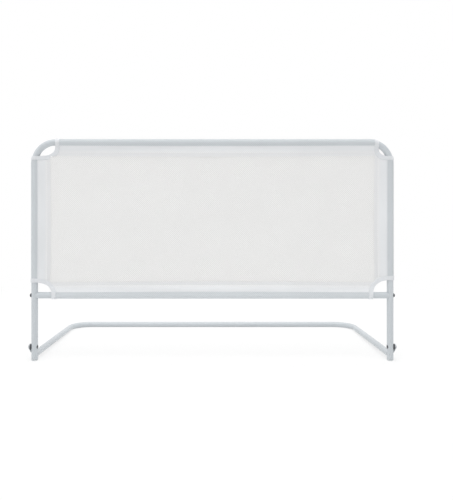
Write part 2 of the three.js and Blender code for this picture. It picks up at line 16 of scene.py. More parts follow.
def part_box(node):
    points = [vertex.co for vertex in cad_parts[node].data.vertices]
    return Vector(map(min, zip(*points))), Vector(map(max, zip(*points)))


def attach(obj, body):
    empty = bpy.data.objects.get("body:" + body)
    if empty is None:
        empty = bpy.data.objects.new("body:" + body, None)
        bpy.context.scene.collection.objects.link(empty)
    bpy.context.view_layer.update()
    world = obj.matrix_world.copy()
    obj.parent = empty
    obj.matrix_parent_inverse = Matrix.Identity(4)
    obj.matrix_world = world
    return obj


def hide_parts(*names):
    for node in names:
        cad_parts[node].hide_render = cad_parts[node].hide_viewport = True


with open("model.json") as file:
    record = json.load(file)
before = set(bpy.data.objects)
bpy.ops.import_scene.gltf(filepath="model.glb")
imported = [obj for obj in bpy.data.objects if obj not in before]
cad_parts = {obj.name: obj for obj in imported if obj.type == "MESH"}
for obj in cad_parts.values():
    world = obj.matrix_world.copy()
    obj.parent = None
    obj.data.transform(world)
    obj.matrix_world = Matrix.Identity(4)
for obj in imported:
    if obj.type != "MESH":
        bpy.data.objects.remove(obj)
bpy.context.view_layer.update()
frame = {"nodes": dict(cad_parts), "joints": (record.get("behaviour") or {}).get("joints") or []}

LOG = logging.getLogger("guard_rail")

MM = 0.001
SAME_PLACE = 0.001 * MM
FLAT_WITHIN = 0.01 * MM
QUARTER_TURN = math.pi / 2
FULL_TURN = 2 * math.pi
ROUND_FACETS = 48
SMALL_FACETS = 32
DOME_STEPS = 9
CORNER_STEPS = 3
CORNER_SHARE = 0.45
WHITE = (1.0, 1.0, 1.0)
X_AXIS = Vector((1, 0, 0))
Y_AXIS = Vector((0, 1, 0))
Z_AXIS = Vector((0, 0, 1))

Colour = tuple[float, float, float]
Triple = tuple[float, float, float]
Outline = list[tuple[float, float]]
Loop = list[bmesh.types.BMEdge]
Hole = tuple[Vector, Vector, float]


class Side(Enum):
    """The two ends of the rail, seen from in front."""

    LEFT = -1
    RIGHT = 1

    @property
    def word(self) -> str:
        """The side's name as the nodes spell it."""
        return self.name.lower()


class Body(Enum):
    """The two parts that the pivots join."""

    GUARD = "guard_frame"
    BASE = "base"


class Slot(Enum):
    """Material slots of the record."""

    PAINT = "white_powder_coat"
    NET = "net"
    HEM = "net_hem"
    TAPE = "binding_tape"
    DARK_STEEL = "dark_steel"
    ZINC = "zinc_steel"
    BLACK_PLASTIC = "black_plastic"
    PALE_PLASTIC = "pale_plastic"


def from_screen(red: int, green: int, blue: int) -> Colour:
    """Turns a colour as a screen shows it into the linear values that shaders take.

    Args:
        red, green, blue: levels from 0 to 255.

    Returns:
        The three linear levels, from 0 to 1.
    """

    def linear(level: float) -> float:
        """Undoes the screen's own curve for one level."""
        share = level / 255
        return share / 12.92 if share <= 0.04045 else ((share + 0.055) / 1.055) ** 2.4

    return linear(red), linear(green), linear(blue)


class Number:
    """A number inside a shader. Sums written on it add the Math nodes that work them out."""

    def __init__(self, nodes: "NodeTree", source: "bpy.types.NodeSocket | float") -> None:
        """Keeps the tree and the socket that the number comes from."""
        self.nodes = nodes
        self.source = source

    def __add__(self, other: "Number | float") -> "Number":
        """This number plus another."""
        return self.nodes.maths("ADD", self, other)

    __radd__ = __add__

    def __sub__(self, other: "Number | float") -> "Number":
        """This number less another."""
        return self.nodes.maths("SUBTRACT", self, other)

    def __rsub__(self, other: "Number | float") -> "Number":
        """Another number less this one."""
        return self.nodes.maths("SUBTRACT", other, self)

    def __mul__(self, other: "Number | float") -> "Number":
        """This number times another."""
        return self.nodes.maths("MULTIPLY", self, other)

    __rmul__ = __mul__

    def sine(self) -> "Number":
        """The sine of this number, in radians."""
        return self.nodes.maths("SINE", self)

    def wave(self) -> "Number":
        """The sine of this number, moved to lie between 0 and 1."""
        return self.sine() * 0.5 + 0.5

    def clamped(self) -> "Number":
        """This number, kept from 0 to 1."""
        return self.nodes.maths("ADD", self, 0.0, clamp=True)


class NodeTree:
    """A node tree that starts empty, with short ways to add and link its nodes."""

    def __init__(self, tree: bpy.types.NodeTree) -> None:
        """Empties the tree."""
        self.tree = tree
        self.tree.nodes.clear()

    def node(self, kind: str, settings: "dict[str, object] | None" = None,
             inputs: "dict[str | int, object] | None" = None) -> bpy.types.Node:
        """Adds one node.

        Args:
            kind: the node's type.
            settings: attributes to set first, such as an operation.
            inputs: values or links of its sockets, by name or number.

        Returns:
            The new node.
        """
        made = self.tree.nodes.new(kind)
        for name, value in (settings or {}).items():
            setattr(made, name, value)
        for socket, value in (inputs or {}).items():
            self.feed(made.inputs[socket], value)
        return made

    def feed(self, socket: bpy.types.NodeSocket, value: object) -> None:
        """Links a socket to another one, or sets its value.

        Args:
            socket: the socket that is fed.
            value: a number of the tree, a socket, a colour or a plain value.
        """
        if isinstance(value, Number):
            value = value.source
        if isinstance(value, bpy.types.NodeSocket):
            self.tree.links.new(value, socket)
        elif isinstance(value, tuple) and socket.type == "RGBA":
            socket.default_value = (*value, 1.0)
        else:
            socket.default_value = value

    def maths(self, operation: str, *values: "Number | float", clamp: bool = False) -> Number:
        """Works out one operation with a Math node.

        Args:
            operation: the node's operation.
            values: the numbers that it takes, in order.
            clamp: whether the result is kept from 0 to 1.

        Returns:
            The result.
        """
        settings = {"operation": operation, "use_clamp": clamp}
        made = self.node("ShaderNodeMath", settings, dict(enumerate(values)))
        return Number(self, made.outputs[0])

    def looked_at(self) -> Number:
        """Tells what the camera sees from light that is on its way to a surface.

        Returns:
            1 for what it sees, also mirrored or through a gap, and 0 for all else.
        """
        path = self.node("ShaderNodeLightPath")
        camera, glossy, through = (Number(self, path.outputs[f"Is {ray} Ray"])
                                   for ray in ("Camera", "Glossy", "Transmission"))
        return self.maths("MAXIMUM", self.maths("MAXIMUM", camera, glossy), through)


class FinishNodes(NodeTree):
    """The node tree of one finish, with its Principled shader and its output."""

    def __init__(self, name: str) -> None:
        """Starts the material.

        Args:
            name: its name.
        """
        self.material = bpy.data.materials.new(name)
        self.material.use_nodes = True
        super().__init__(self.material.node_tree)
        self.shader = self.node("ShaderNodeBsdfPrincipled")
        self.output = self.node("ShaderNodeOutputMaterial", inputs={"Surface": self.shader.outputs["BSDF"]})

    def set(self, **inputs: object) -> None:
        """Feeds the Principled shader's sockets. An underscore in a name stands for a space."""
        for name, value in inputs.items():
            self.feed(self.shader.inputs[name.replace("_", " ")], value)

    def weighed(self, shares: Sequence[float], *numbers: Number) -> Number:
        """Adds numbers, each times its share.

        Args:
            shares: one share for each number.
            numbers: the numbers, in order.

        Returns:
            Their sum.
        """
        first, *others = [number * share for number, share in zip(numbers, shares)]
        for other in others:
            first = first + other
        return first

    def blend(self, share: "Number | float", first: object, second: object) -> bpy.types.NodeSocket:
        """Mixes two colours by a share from 0 to 1."""
        # The node has sockets of one name for each kind of data, so those for colours are taken by number.
        inputs = {0: share, 6: first, 7: second}
        return self.node("ShaderNodeMix", {"data_type": "RGBA"}, inputs).outputs[2]

    def places(self) -> bpy.types.NodeSocket:
        """Where a point lies on the object, in metres."""
        return self.node("ShaderNodeTexCoord").outputs["Object"]

    def pattern_places(self, layer: str) -> bpy.types.NodeSocket:
        """Where a point lies on a piece's own flat pattern."""
        return self.node("ShaderNodeUVMap", {"uv_map": layer}).outputs["UV"]

    def parts(self, vector: bpy.types.NodeSocket) -> tuple[Number, Number, Number]:
        """Splits a vector into its three numbers."""
        split = self.node("ShaderNodeSeparateXYZ", inputs={0: vector})
        return tuple(Number(self, split.outputs[axis]) for axis in range(3))

    def noise(self, places: bpy.types.NodeSocket, size: float, detail: float = 2.0) -> Number:
        """A cloudy pattern from 0 to 1, whose patches are about size metres wide."""
        inputs = {"Vector": places, "Scale": 1 / size, "Detail": detail}
        return Number(self, self.node("ShaderNodeTexNoise", inputs=inputs).outputs[0])

    def stretched(self, places: bpy.types.NodeSocket, scale: Triple) -> bpy.types.NodeSocket:
        """The same places with each axis scaled."""
        return self.node("ShaderNodeMapping", inputs={"Vector": places, "Scale": scale}).outputs[0]

    def relief(self, height: Number, depth: float) -> None:
        """Bumps the surface by a height from 0 to 1, depth metres deep."""
        bump = self.node("ShaderNodeBump", inputs={"Height": height, "Distance": depth, "Strength": 1.0})
        self.set(Normal=bump.outputs["Normal"])


@dataclass(frozen=True)
class Finish:
    """A finish, whose kinds say what their node trees hold."""

    name: str

    def material(self) -> bpy.types.Material:
        """Builds the material.

        Returns:
            The material, under the finish's name.
        """
        nodes = FinishNodes(self.name)
        self.shade(nodes)
        return nodes.material

    def shade(self, nodes: FinishNodes) -> None:
        """Adds the finish's own nodes."""
        raise NotImplementedError


@dataclass(frozen=True)
class PowderCoat(Finish):
    """Smooth powder coat on steel: a faint orange peel, dull patches and slight tone changes."""

    name: str = "powder_coat"
    pale: Colour = from_screen(198, 203, 207)
    deep: Colour = from_screen(189, 195, 199)
    peel_size: float = 1.6 * MM
    peel_depth: float = 0.012 * MM
    patch_size: float = 60 * MM
    grain_size: float = 0.5 * MM
    roughness: float = 0.33
    patch_dulling: float = 0.1
    grain_dulling: float = 0.05
    coat: float = 0.25
    coat_roughness: float = 0.22
    tone_shares: tuple[float, float] = (0.8, 0.2)
    relief_shares: tuple[float, float] = (0.8, 0.2)

    def shade(self, nodes: FinishNodes) -> None:
        """Adds the finish's own nodes.

        Args:
            nodes: the tree that gets them.
        """
        places = nodes.places()
        patches = nodes.noise(places, self.patch_size, detail=4.0)
        grain = nodes.noise(places, self.grain_size, detail=1.0)
        peel = nodes.noise(places, self.peel_size)
        tone = nodes.weighed(self.tone_shares, patches, grain).clamped()
        nodes.set(
            Base_Color=nodes.blend(tone, self.deep, self.pale),
            Roughness=self.roughness + patches * self.patch_dulling + grain * self.grain_dulling,
            Coat_Weight=self.coat,
            Coat_Roughness=self.coat_roughness,
        )
        nodes.relief(nodes.weighed(self.relief_shares, peel, grain), self.peel_depth)


@dataclass(frozen=True)
class NetYarn(Finish):
    """Warp-knit yarn of the net, with a twist along each thread, painted shade in the twist's hollows and a
    soft tone change over the panel.
    """

    name: str = "net_yarn"
    pale: Colour = from_screen(235, 235, 234)
    deep: Colour = from_screen(226, 226, 225)
    layer: str = "net_pattern"
    twist_pitch: float = 0.55 * MM
    twist_depth: float = 0.16 * MM
    fuzz_size: float = 0.35 * MM
    cloud_size: float = 120 * MM
    roughness: float = 0.8
    fuzz_dulling: float = 0.15
    sheen: float = 0.15
    sheen_roughness: float = 0.5
    tone_shares: tuple[float, float, float] = (0.5, 0.3, 0.2)
    relief_shares: tuple[float, float] = (0.7, 0.3)

    def shade(self, nodes: FinishNodes) -> None:
        """Adds the finish's own nodes.

        Args:
            nodes: the tree that gets them.
        """
        flat = nodes.pattern_places(self.layer)
        across, along, _ = nodes.parts(flat)
        turns = FULL_TURN / self.twist_pitch
        twist = ((across + along) * turns).sine() * ((across - along) * turns).sine() * 0.5 + 0.5
        fuzz = nodes.noise(flat, self.fuzz_size)
        cloud = nodes.noise(flat, self.cloud_size, detail=3.0)
        # The tone follows the twist of the relief too, so the twist's hollows are painted a little darker:
        # painted shade. The cloud and the fuzz are random tone.
        tone = nodes.weighed(self.tone_shares, cloud, twist, fuzz).clamped()
        nodes.set(
            Base_Color=self.coloured(nodes, tone),
            Roughness=self.roughness + fuzz * self.fuzz_dulling,
            Sheen_Weight=self.sheen,
            Sheen_Roughness=self.sheen_roughness,
        )
        nodes.relief(nodes.weighed(self.relief_shares, twist, fuzz), self.twist_depth)

    def coloured(self, nodes: FinishNodes, tone: Number) -> bpy.types.NodeSocket:
        """The yarn's colour from a tone of 0 to 1."""
        return nodes.blend(tone, self.deep, self.pale)


@dataclass(frozen=True)
class HemYarn(NetYarn):
    """The same yarn in a sleeve: painted shade over the bar, where the tube shows through the net; painted
    light on the flanks; and a flank colour painted a shade darker at the seam.
    """

    name: str = "hem_yarn"
    # Flank colour, lighter than the panel's yarn: painted light.
    pale: Colour = from_screen(244, 246, 248)
    deep: Colour = from_screen(235, 237, 239)
    # Bar zone: painted shade, for the tube seen darker through the net.
    bar_pale: Colour = from_screen(214, 219, 222)
    bar_deep: Colour = from_screen(202, 207, 211)
    # Seam zone: painted a shade darker than the flanks, for the shade along the doubled seam.
    seam_pale: Colour = from_screen(239, 240, 241)
    seam_deep: Colour = from_screen(229, 230, 231)
    zone_layer: str = "net_zones"
    bar_edge: float = 3.0 * MM
    seam_edge: float = 7.0 * MM

    def coloured(self, nodes: FinishNodes, tone: Number) -> bpy.types.NodeSocket:
        """The yarn's colour, zone by zone round the sleeve: painted shade over the bar, painted light on the
        flanks, and a painted shade at the seam.

        Args:
            nodes: the finish's tree.
            tone: a number from 0 to 1.

        Returns:
            The colour.
        """
        past_bar, past_flank, _ = nodes.parts(nodes.pattern_places(self.zone_layer))
        # Masks of the painted zones: painted shade over the bar and at the seam, painted light on the flanks
        # between.
        bar_painted_shade_share = (0.5 - past_bar * (1 / self.bar_edge)).clamped()
        seam_painted_shade_share = (1 + past_flank * (1 / self.seam_edge)).clamped()
        flank = nodes.blend(tone, self.deep, self.pale)
        bar = nodes.blend(tone, self.bar_deep, self.bar_pale)
        seam = nodes.blend(tone, self.seam_deep, self.seam_pale)
        return nodes.blend(seam_painted_shade_share, nodes.blend(bar_painted_shade_share, flank, bar), seam)


@dataclass(frozen=True)
class RibbedTape(Finish):
    """White binding tape, with fine ribs across it, crossed by its weft, and painted shade in its grooves.
    """

    name: str = "ribbed_tape"
    pale: Colour = from_screen(228, 230, 233)
    deep: Colour = from_screen(208, 211, 214)
    layer: str = "tape_pattern"
    rib_pitch: float = 1.3 * MM
    weft_pitch: float = 0.7 * MM
    rib_depth: float = 0.16 * MM
    fuzz_size: float = 0.4 * MM
    roughness: float = 0.72
    fuzz_dulling: float = 0.18
    sheen: float = 0.1
    sheen_roughness: float = 0.5
    height_shares: tuple[float, float, float] = (0.65, 0.2, 0.15)

    def shade(self, nodes: FinishNodes) -> None:
        """Adds the finish's own nodes.

        Args:
            nodes: the tree that gets them.
        """
        flat = nodes.pattern_places(self.layer)
        along, across, _ = nodes.parts(flat)
        rib = (along * (FULL_TURN / self.rib_pitch)).wave()
        weft = (across * (FULL_TURN / self.weft_pitch)).wave()
        fuzz = nodes.noise(nodes.places(), self.fuzz_size)
        # The colour follows the same height as the relief, so the grooves between ribs and weft are painted
        # darker: painted shade.
        height = nodes.weighed(self.height_shares, rib, weft, fuzz).clamped()
        nodes.set(
            Base_Color=nodes.blend(height, self.deep, self.pale),
            Roughness=self.roughness + fuzz * self.fuzz_dulling,
            Sheen_Weight=self.sheen,
            Sheen_Roughness=self.sheen_roughness,
        )
        nodes.relief(height, self.rib_depth)


@dataclass(frozen=True)
class SewingThread(Finish):
    """Twisted polyester thread of the seams, with painted shade between its plies."""

    name: str = "sewing_thread"
    pale: Colour = from_screen(244, 244, 246)
    deep: Colour = from_screen(214, 216, 221)
    ply_size: float = 0.3 * MM
    ply_stretch: Triple = (1.0, 1.0, 2.5)
    ply_depth: float = 0.08 * MM
    roughness: float = 0.5
    ply_dulling: float = 0.2

    def shade(self, nodes: FinishNodes) -> None:
        """Adds the finish's own nodes.

        Args:
            nodes: the tree that gets them.
        """
        places = nodes.places()
        plies = nodes.noise(nodes.stretched(places, self.ply_stretch), self.ply_size, detail=1.0)
        # The colour follows the plies' relief: painted shade between the plies.
        nodes.set(
            Base_Color=nodes.blend(plies, self.deep, self.pale),
            Roughness=self.roughness + plies * self.ply_dulling,
        )
        nodes.relief(plies, self.ply_depth)


@dataclass(frozen=True)
class PlatedSteel(Finish):
    """Zinc-plated steel fastener, with fine turning marks and dull specks."""

    bright: Colour
    dull: Colour
    metallic: float = 0.9
    roughness: float = 0.34
    mark_pitch: float = 0.25 * MM
    mark_stretch: Triple = (1.0, 0.2, 0.2)
    mark_depth: float = 0.012 * MM
    mark_dulling: float = 0.06
    speck_size: float = 0.8 * MM
    speck_dulling: float = 0.16
    relief_shares: tuple[float, float] = (0.6, 0.4)

    def shade(self, nodes: FinishNodes) -> None:
        """Adds the finish's own nodes.

        Args:
            nodes: the tree that gets them.
        """
        places = nodes.places()
        marks = nodes.noise(nodes.stretched(places, self.mark_stretch), self.mark_pitch, detail=1.0)
        specks = nodes.noise(places, self.speck_size, detail=3.0)
        nodes.set(
            Base_Color=nodes.blend(specks, self.dull, self.bright),
            Metallic=self.metallic,
            Roughness=self.roughness + specks * self.speck_dulling + marks * self.mark_dulling,
        )
        nodes.relief(nodes.weighed(self.relief_shares, marks, specks), self.mark_depth)


@dataclass(frozen=True)
class MouldedPlastic(Finish):
    """Injection-moulded plastic with a fine spark-eroded grain."""

    pale: Colour
    deep: Colour
    roughness: float = 0.5
    grain_size: float = 0.45 * MM
    grain_depth: float = 0.03 * MM
    grain_dulling: float = 0.15
    flow_size: float = 9 * MM
    tone_shares: tuple[float, float] = (0.7, 0.3)

    def shade(self, nodes: FinishNodes) -> None:
        """Adds the finish's own nodes.

        Args:
            nodes: the tree that gets them.
        """
        places = nodes.places()
        grain = nodes.noise(places, self.grain_size)
        flow = nodes.noise(places, self.flow_size, detail=3.0)
        tone = nodes.weighed(self.tone_shares, flow, grain).clamped()
        nodes.set(
            Base_Color=nodes.blend(tone, self.deep, self.pale),
            Roughness=self.roughness + grain * self.grain_dulling,
        )
        nodes.relief(grain, self.grain_depth)


@dataclass(frozen=True)
class Finishes:
    """Every finish of the rail, built once."""

    paint: bpy.types.Material = field(default_factory=lambda: PowderCoat().material())
    net: bpy.types.Material = field(default_factory=lambda: NetYarn().material())
    hem: bpy.types.Material = field(default_factory=lambda: HemYarn().material())
    # The bottom sleeve's bar zone is painted lighter: painted light against the shade that the panel casts
    # on the crossbar's sleeve.
    low_hem: bpy.types.Material = field(default_factory=lambda: HemYarn(
        name="low_hem_yarn", bar_pale=from_screen(219, 224, 227),
        bar_deep=from_screen(207, 212, 216)).material())
    tape: bpy.types.Material = field(default_factory=lambda: RibbedTape().material())
    thread: bpy.types.Material = field(default_factory=lambda: SewingThread().material())
    dark_steel: bpy.types.Material = field(default_factory=lambda: PlatedSteel(
        name="black_zinc", bright=from_screen(118, 119, 123), dull=from_screen(84, 85, 89)).material())
    zinc: bpy.types.Material = field(default_factory=lambda: PlatedSteel(
        name="bright_zinc", bright=from_screen(206, 208, 210), dull=from_screen(176, 178, 181)).material())
    nylon: bpy.types.Material = field(default_factory=lambda: MouldedPlastic(
        name="black_nylon", pale=from_screen(96, 97, 100), deep=from_screen(78, 79, 82),
        roughness=0.55).material())
    plastic: bpy.types.Material = field(default_factory=lambda: MouldedPlastic(
        name="pale_plastic", pale=from_screen(214, 218, 220), deep=from_screen(204, 208, 211)).material())


def node_radius(node: str) -> float:
    """Half a CAD node's height, which is the radius of a piece that is round about X."""
    low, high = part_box(node)
    return (high.z - low.z) / 2


@dataclass(frozen=True)
class Layout:
    """Places and sizes that the sub-assemblies share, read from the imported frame, in metres."""

    tube_radius: float
    leg_x: float
    top_z: float
    crossbar_z: float
    plane_y: float
    leg_end_z: float
    pivot: Vector
    far_bar: Vector
    wall: float = 1.2 * MM
    fit_gap: float = 0.3 * MM
    frame_bend: float = 52 * MM
    base_bend: float = 58 * MM
    base_drop: float = 19 * MM

    @classmethod
    def from_frame(cls) -> "Layout":
        """Measures the CAD nodes.

        Returns:
            The layout.
        """
        bar_low, bar_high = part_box("crossbar_tube")
        tube_low, tube_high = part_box("guard_frame_tube")
        base_low, base_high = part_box("base_tube")
        radius = node_radius("crossbar_tube")
        return cls(
            tube_radius=radius,
            leg_x=tube_high.x - radius,
            top_z=tube_high.z - radius,
            crossbar_z=(bar_low.z + bar_high.z) / 2,
            plane_y=(bar_low.y + bar_high.y) / 2,
            leg_end_z=tube_low.z,
            pivot=Vector(frame["joints"][0]["pos_m"]),
            far_bar=Vector((0, base_high.y - radius, base_low.z + radius)),
        )

    @property
    def bore_radius(self) -> float:
        """Inner radius of the tubes."""
        return self.tube_radius - self.wall

    @property
    def base_reach(self) -> float:
        """How far the far bar's axis lies from the pivots, along the base's own plane."""
        apart = self.far_bar - self.pivot
        return math.sqrt(apart.y ** 2 + apart.z ** 2 - self.base_drop ** 2)

    @property
    def base_slope(self) -> float:
        """How far the open base tilts down towards its far bar, in radians."""
        apart = self.far_bar - self.pivot
        return math.atan2(-apart.z, apart.y) - math.atan2(self.base_drop, self.base_reach)

    def base_place(self) -> Matrix:
        """Turns places about the pivots, with the base's plane level, into places on the open rail."""
        return Matrix.Translation(self.pivot) @ Matrix.Rotation(-self.base_slope, 4, "X")

    def on_leg(self, side: Side, z: float, out: float = 0.0) -> Vector:
        """A place on a leg's axis at a height, or so far outwards from it."""
        return Vector((side.value * (self.leg_x + out), self.plane_y, z))

    def outward(self, node: str, side: Side) -> tuple[float, float]:
        """Where a node starts and ends, counted outwards from its leg's axis."""
        start, end = sorted(side.value * corner.x - self.leg_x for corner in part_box(node))
        return start, end


def put_in_scene(name: str, bm: bmesh.types.BMesh) -> bpy.types.Object:
    """Puts a mesh in the scene.

    Args:
        name: the name of its object.
        bm: the mesh, which is freed.

    Returns:
        The new object.
    """
    mesh = bpy.data.meshes.new(name)
    bm.to_mesh(mesh)
    bm.free()
    holder = bpy.data.objects.new(name, mesh)
    bpy.context.scene.collection.objects.link(holder)
    return holder


def finished(name: str, bm: bmesh.types.BMesh, material: bpy.types.Material, body: Body,
             slot: Slot, replaced: Sequence[str] = (), sharp: float = 35.0) -> bpy.types.Object:
    """Turns a mesh into a shown piece of the rail.

    Args:
        name: the piece's name.
        bm: its mesh, in place, which is freed.
        material: its finish.
        body: the body that it moves with.
        slot: the record's slot that its finish comes from; not used.
        replaced: CAD nodes that it stands for.
        sharp: edges bent by more degrees than this stay sharp.

    Returns:
        The new object.
    """
    piece = put_in_scene(name, bm)
    piece.data.materials.append(material)
    piece.data.shade_smooth()
    piece.data.set_sharp_from_angle(angle=math.radians(sharp))
    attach(piece, body.value)
    if replaced:
        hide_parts(*replaced)
    LOG.info("%s: %d faces, on %s", name, len(piece.data.polygons), body.value)
    return piece


def reshaped(bm: bmesh.types.BMesh, dress: Callable[[bpy.types.Object], None]) -> bmesh.types.BMesh:
    """Runs modifiers over a mesh.

    Args:
        bm: the mesh, which is freed.
        dress: puts the modifiers on an object that carries the mesh.

    Returns:
        The new mesh.
    """
    carrier = put_in_scene("carrier", bm)
    dress(carrier)
    result = bpy.data.meshes.new_from_object(carrier.evaluated_get(bpy.context.evaluated_depsgraph_get()))
    bpy.data.objects.remove(carrier)
    bm = bmesh.new()
    bm.from_mesh(result)
    return bm


def drilled(bm: bmesh.types.BMesh, holes: Iterable[Hole]) -> bmesh.types.BMesh:
    """Drills holes along X.

    Args:
        bm: the mesh, which is freed.
        holes: both ends and the radius of each hole.

    Returns:
        The drilled mesh.
    """
    drills = bmesh.new()
    for start, end, radius in holes:
        place = Matrix.Translation((start + end) / 2) @ Matrix.Rotation(QUARTER_TURN, 4, "Y")
        bmesh.ops.create_cone(drills, cap_ends=True, segments=ROUND_FACETS, radius1=radius, radius2=radius,
                              depth=(end - start).length, matrix=place)
    tool = put_in_scene("drills", drills)

    def dress(carrier: bpy.types.Object) -> None:
        """Cuts the drills out.

        Args:
            carrier: the object that gets the modifier.
        """
        cut = carrier.modifiers.new("holes", "BOOLEAN")
        cut.operation = "DIFFERENCE"
        cut.solver = "MANIFOLD"
        cut.object = tool

    bm = reshaped(bm, dress)
    bpy.data.objects.remove(tool)
    return bm


def of_kind(items: Iterable[object], kind: type) -> list:
    """Those items that are of one kind, in order."""
    return [item for item in items if isinstance(item, kind)]


def weld(bm: bmesh.types.BMesh) -> None:
    """Joins points that lie at the same place."""
    bmesh.ops.remove_doubles(bm, verts=bm.verts, dist=SAME_PLACE)


def slice_at(bm: bmesh.types.BMesh, place: Vector, across: Vector) -> None:
    """Cuts the faces along a plane through a place, square to a direction, and keeps both sides."""
    bmesh.ops.bisect_plane(bm, geom=[*bm.verts, *bm.edges, *bm.faces], plane_co=place, plane_no=across,
                           dist=SAME_PLACE)


def lay_out(bm: bmesh.types.BMesh, layer: str,
            flat_place: Callable[[bmesh.types.BMLoop], Sequence[float]]) -> None:
    """Gives a mesh a flat pattern.

    Args:
        bm: the mesh.
        layer: the pattern's name.
        flat_place: where a corner of a face lies on the pattern.
    """
    pattern = bm.loops.layers.uv.new(layer)
    for face in bm.faces:
        for corner in face.loops:
            corner[pattern].uv = flat_place(corner)


def draw_out(bm: bmesh.types.BMesh, loop: Loop) -> tuple[list[bmesh.types.BMVert], Loop]:
    """Grows a ring of faces from a loop of edges.

    Args:
        bm: the mesh.
        loop: the loop's edges.

    Returns:
        The new points, which the caller moves, and the new loop.
    """
    made = bmesh.ops.extrude_edge_only(bm, edges=loop)["geom"]
    verts = of_kind(made, bmesh.types.BMVert)
    fresh = set(verts)
    return verts, [edge for edge in of_kind(made, bmesh.types.BMEdge) if set(edge.verts) <= fresh]


class BentTube:
    """A walled tube that grows by straight runs and quarter turns."""

    bend_steps = 20

    def __init__(self, outer: float, inner: float, start: Vector, heading: Vector) -> None:
        """Lays the rings that the tube starts from.

        Args:
            outer, inner: radii of the wall's two sides.
            start: where the tube's axis starts.
            heading: the way in which it sets out.
        """
        self.bm = bmesh.new()
        self.heading = heading.normalized()
        turn = Z_AXIS.rotation_difference(self.heading).to_matrix().to_4x4()
        place = Matrix.Translation(start) @ turn
        self.start_loops = [self.ring(radius, place) for radius in (outer, inner)]
        self.loops = self.start_loops

    def ring(self, radius: float, place: Matrix) -> Loop:
        """Lays one circle of edges square to the tube.

        Args:
            radius: the circle's radius.
            place: turns it from the plane of X and Y and moves it.

        Returns:
            Its edges.
        """
        made = bmesh.ops.create_circle(self.bm, cap_ends=False, radius=radius, segments=ROUND_FACETS,
                                       matrix=place)
        around = set(made["verts"])
        return [edge for edge in self.bm.edges if set(edge.verts) <= around]

    def straight(self, length: float) -> "BentTube":
        """Adds a straight run.

        Args:
            length: its length.

        Returns:
            The tube itself.
        """
        grown = []
        for loop in self.loops:
            verts, edges = draw_out(self.bm, loop)
            bmesh.ops.translate(self.bm, vec=self.heading * length, verts=verts)
            grown.append(edges)
        self.loops = grown
        return self

    def bend(self, centre: Vector, axis: Vector) -> "BentTube":
        """Adds a quarter turn.

        Args:
            centre: the bend's centre.
            axis: the axis that it turns about.

        Returns:
            The tube itself.
        """
        grown = []
        for loop in self.loops:
            verts = list({vert for edge in loop for vert in edge.verts})
            made = bmesh.ops.spin(self.bm, geom=[*verts, *loop], cent=centre, axis=axis, dvec=(0, 0, 0),
                                  angle=QUARTER_TURN, steps=self.bend_steps)["geom_last"]
            grown.append(of_kind(made, bmesh.types.BMEdge))
        self.loops = grown
        self.heading = Matrix.Rotation(QUARTER_TURN, 3, axis) @ self.heading
        return self

    def closed(self) -> bmesh.types.BMesh:
        """Joins the outer and inner walls at both ends.

        Returns:
            The mesh.
        """
        for ends in (self.start_loops, self.loops):
            bmesh.ops.bridge_loops(self.bm, edges=ends[0] + ends[1])
        bmesh.ops.recalc_face_normals(self.bm, faces=self.bm.faces)
        return self.bm


def u_tube(layout: Layout, start: Vector, heading: Vector, run: float, bend: float) -> bmesh.types.BMesh:
    """Bends a tube to a U, from the left leg across to the right one.

    Args:
        layout: gives the tube's size and how far apart the legs are.
        start: where the axis of the left leg starts.
        heading: the way along that leg.
        run: how long it is, up to its bend.
        bend: radius of both bends.

    Returns:
        The mesh, in place.
    """
    tube = BentTube(layout.tube_radius, layout.bore_radius, start, heading)
    across = 2 * (layout.leg_x - bend)
    centre = start + heading * run + X_AXIS * bend
    axis = heading.cross(X_AXIS)
    tube.straight(run).bend(centre, axis)
    tube.straight(across).bend(centre + X_AXIS * across, axis)
    return tube.straight(run).closed()


@dataclass(frozen=True)
class HexSocket:
    """Six-sided socket in a screw's head, with a round lead-in and a cone at its bottom."""

    across_flats: float
    depth: float
    lead_in: float = 0.15 * MM
    cone_share: float = 0.2

    def mouth_radius(self) -> float:
        """Radius of the round lead-in, just past the socket's corners."""
        return self.across_flats / math.sqrt(3) + self.lead_in

    def cut(self, bm: bmesh.types.BMesh, mouth: Loop) -> None:
        """Sinks the socket.

        Args:
            bm: the mesh of the head.
            mouth: an open ring of edges about the X axis.
        """
        cone = self.across_flats * self.cone_share
        for move in (self.onto_hexagon,
                     lambda co: co - X_AXIS * self.depth,
                     lambda co: Vector((co.x - cone, 0, 0))):
            verts, mouth = draw_out(bm, mouth)
            for vert in verts:
                vert.co = move(vert.co)

    def onto_hexagon(self, co: Vector) -> Vector:
        """Moves a point of the ring onto the six flats.

        Args:
            co: the point.

        Returns:
            Its new place.
        """
        angle = math.atan2(co.z, co.y)
        from_flat = (angle + math.pi / 6) % (math.pi / 3) - math.pi / 6
        reach = self.across_flats / 2 / math.cos(from_flat)
        return Vector((co.x, reach * math.cos(angle), reach * math.sin(angle)))


@dataclass(frozen=True)
class Fastener:
    """A screw or bolt with a plain shank and a domed head with a socket."""

    shank: float
    head_height: float
    socket: HexSocket


def dome(radius: float, height: float, base: float, inner: float) -> Outline:
    """Outline of a domed head.

    Args:
        radius, height: size of the dome.
        base: where its rim lies along the axis.
        inner: radius at which the outline stops.

    Returns:
        Points of radius and height, from the rim inwards.
    """
    last = math.acos(inner / radius)
    angles = [last * step / DOME_STEPS for step in range(DOME_STEPS + 1)]
    return [(radius * math.cos(angle), base + height * math.sin(angle)) for angle in angles]


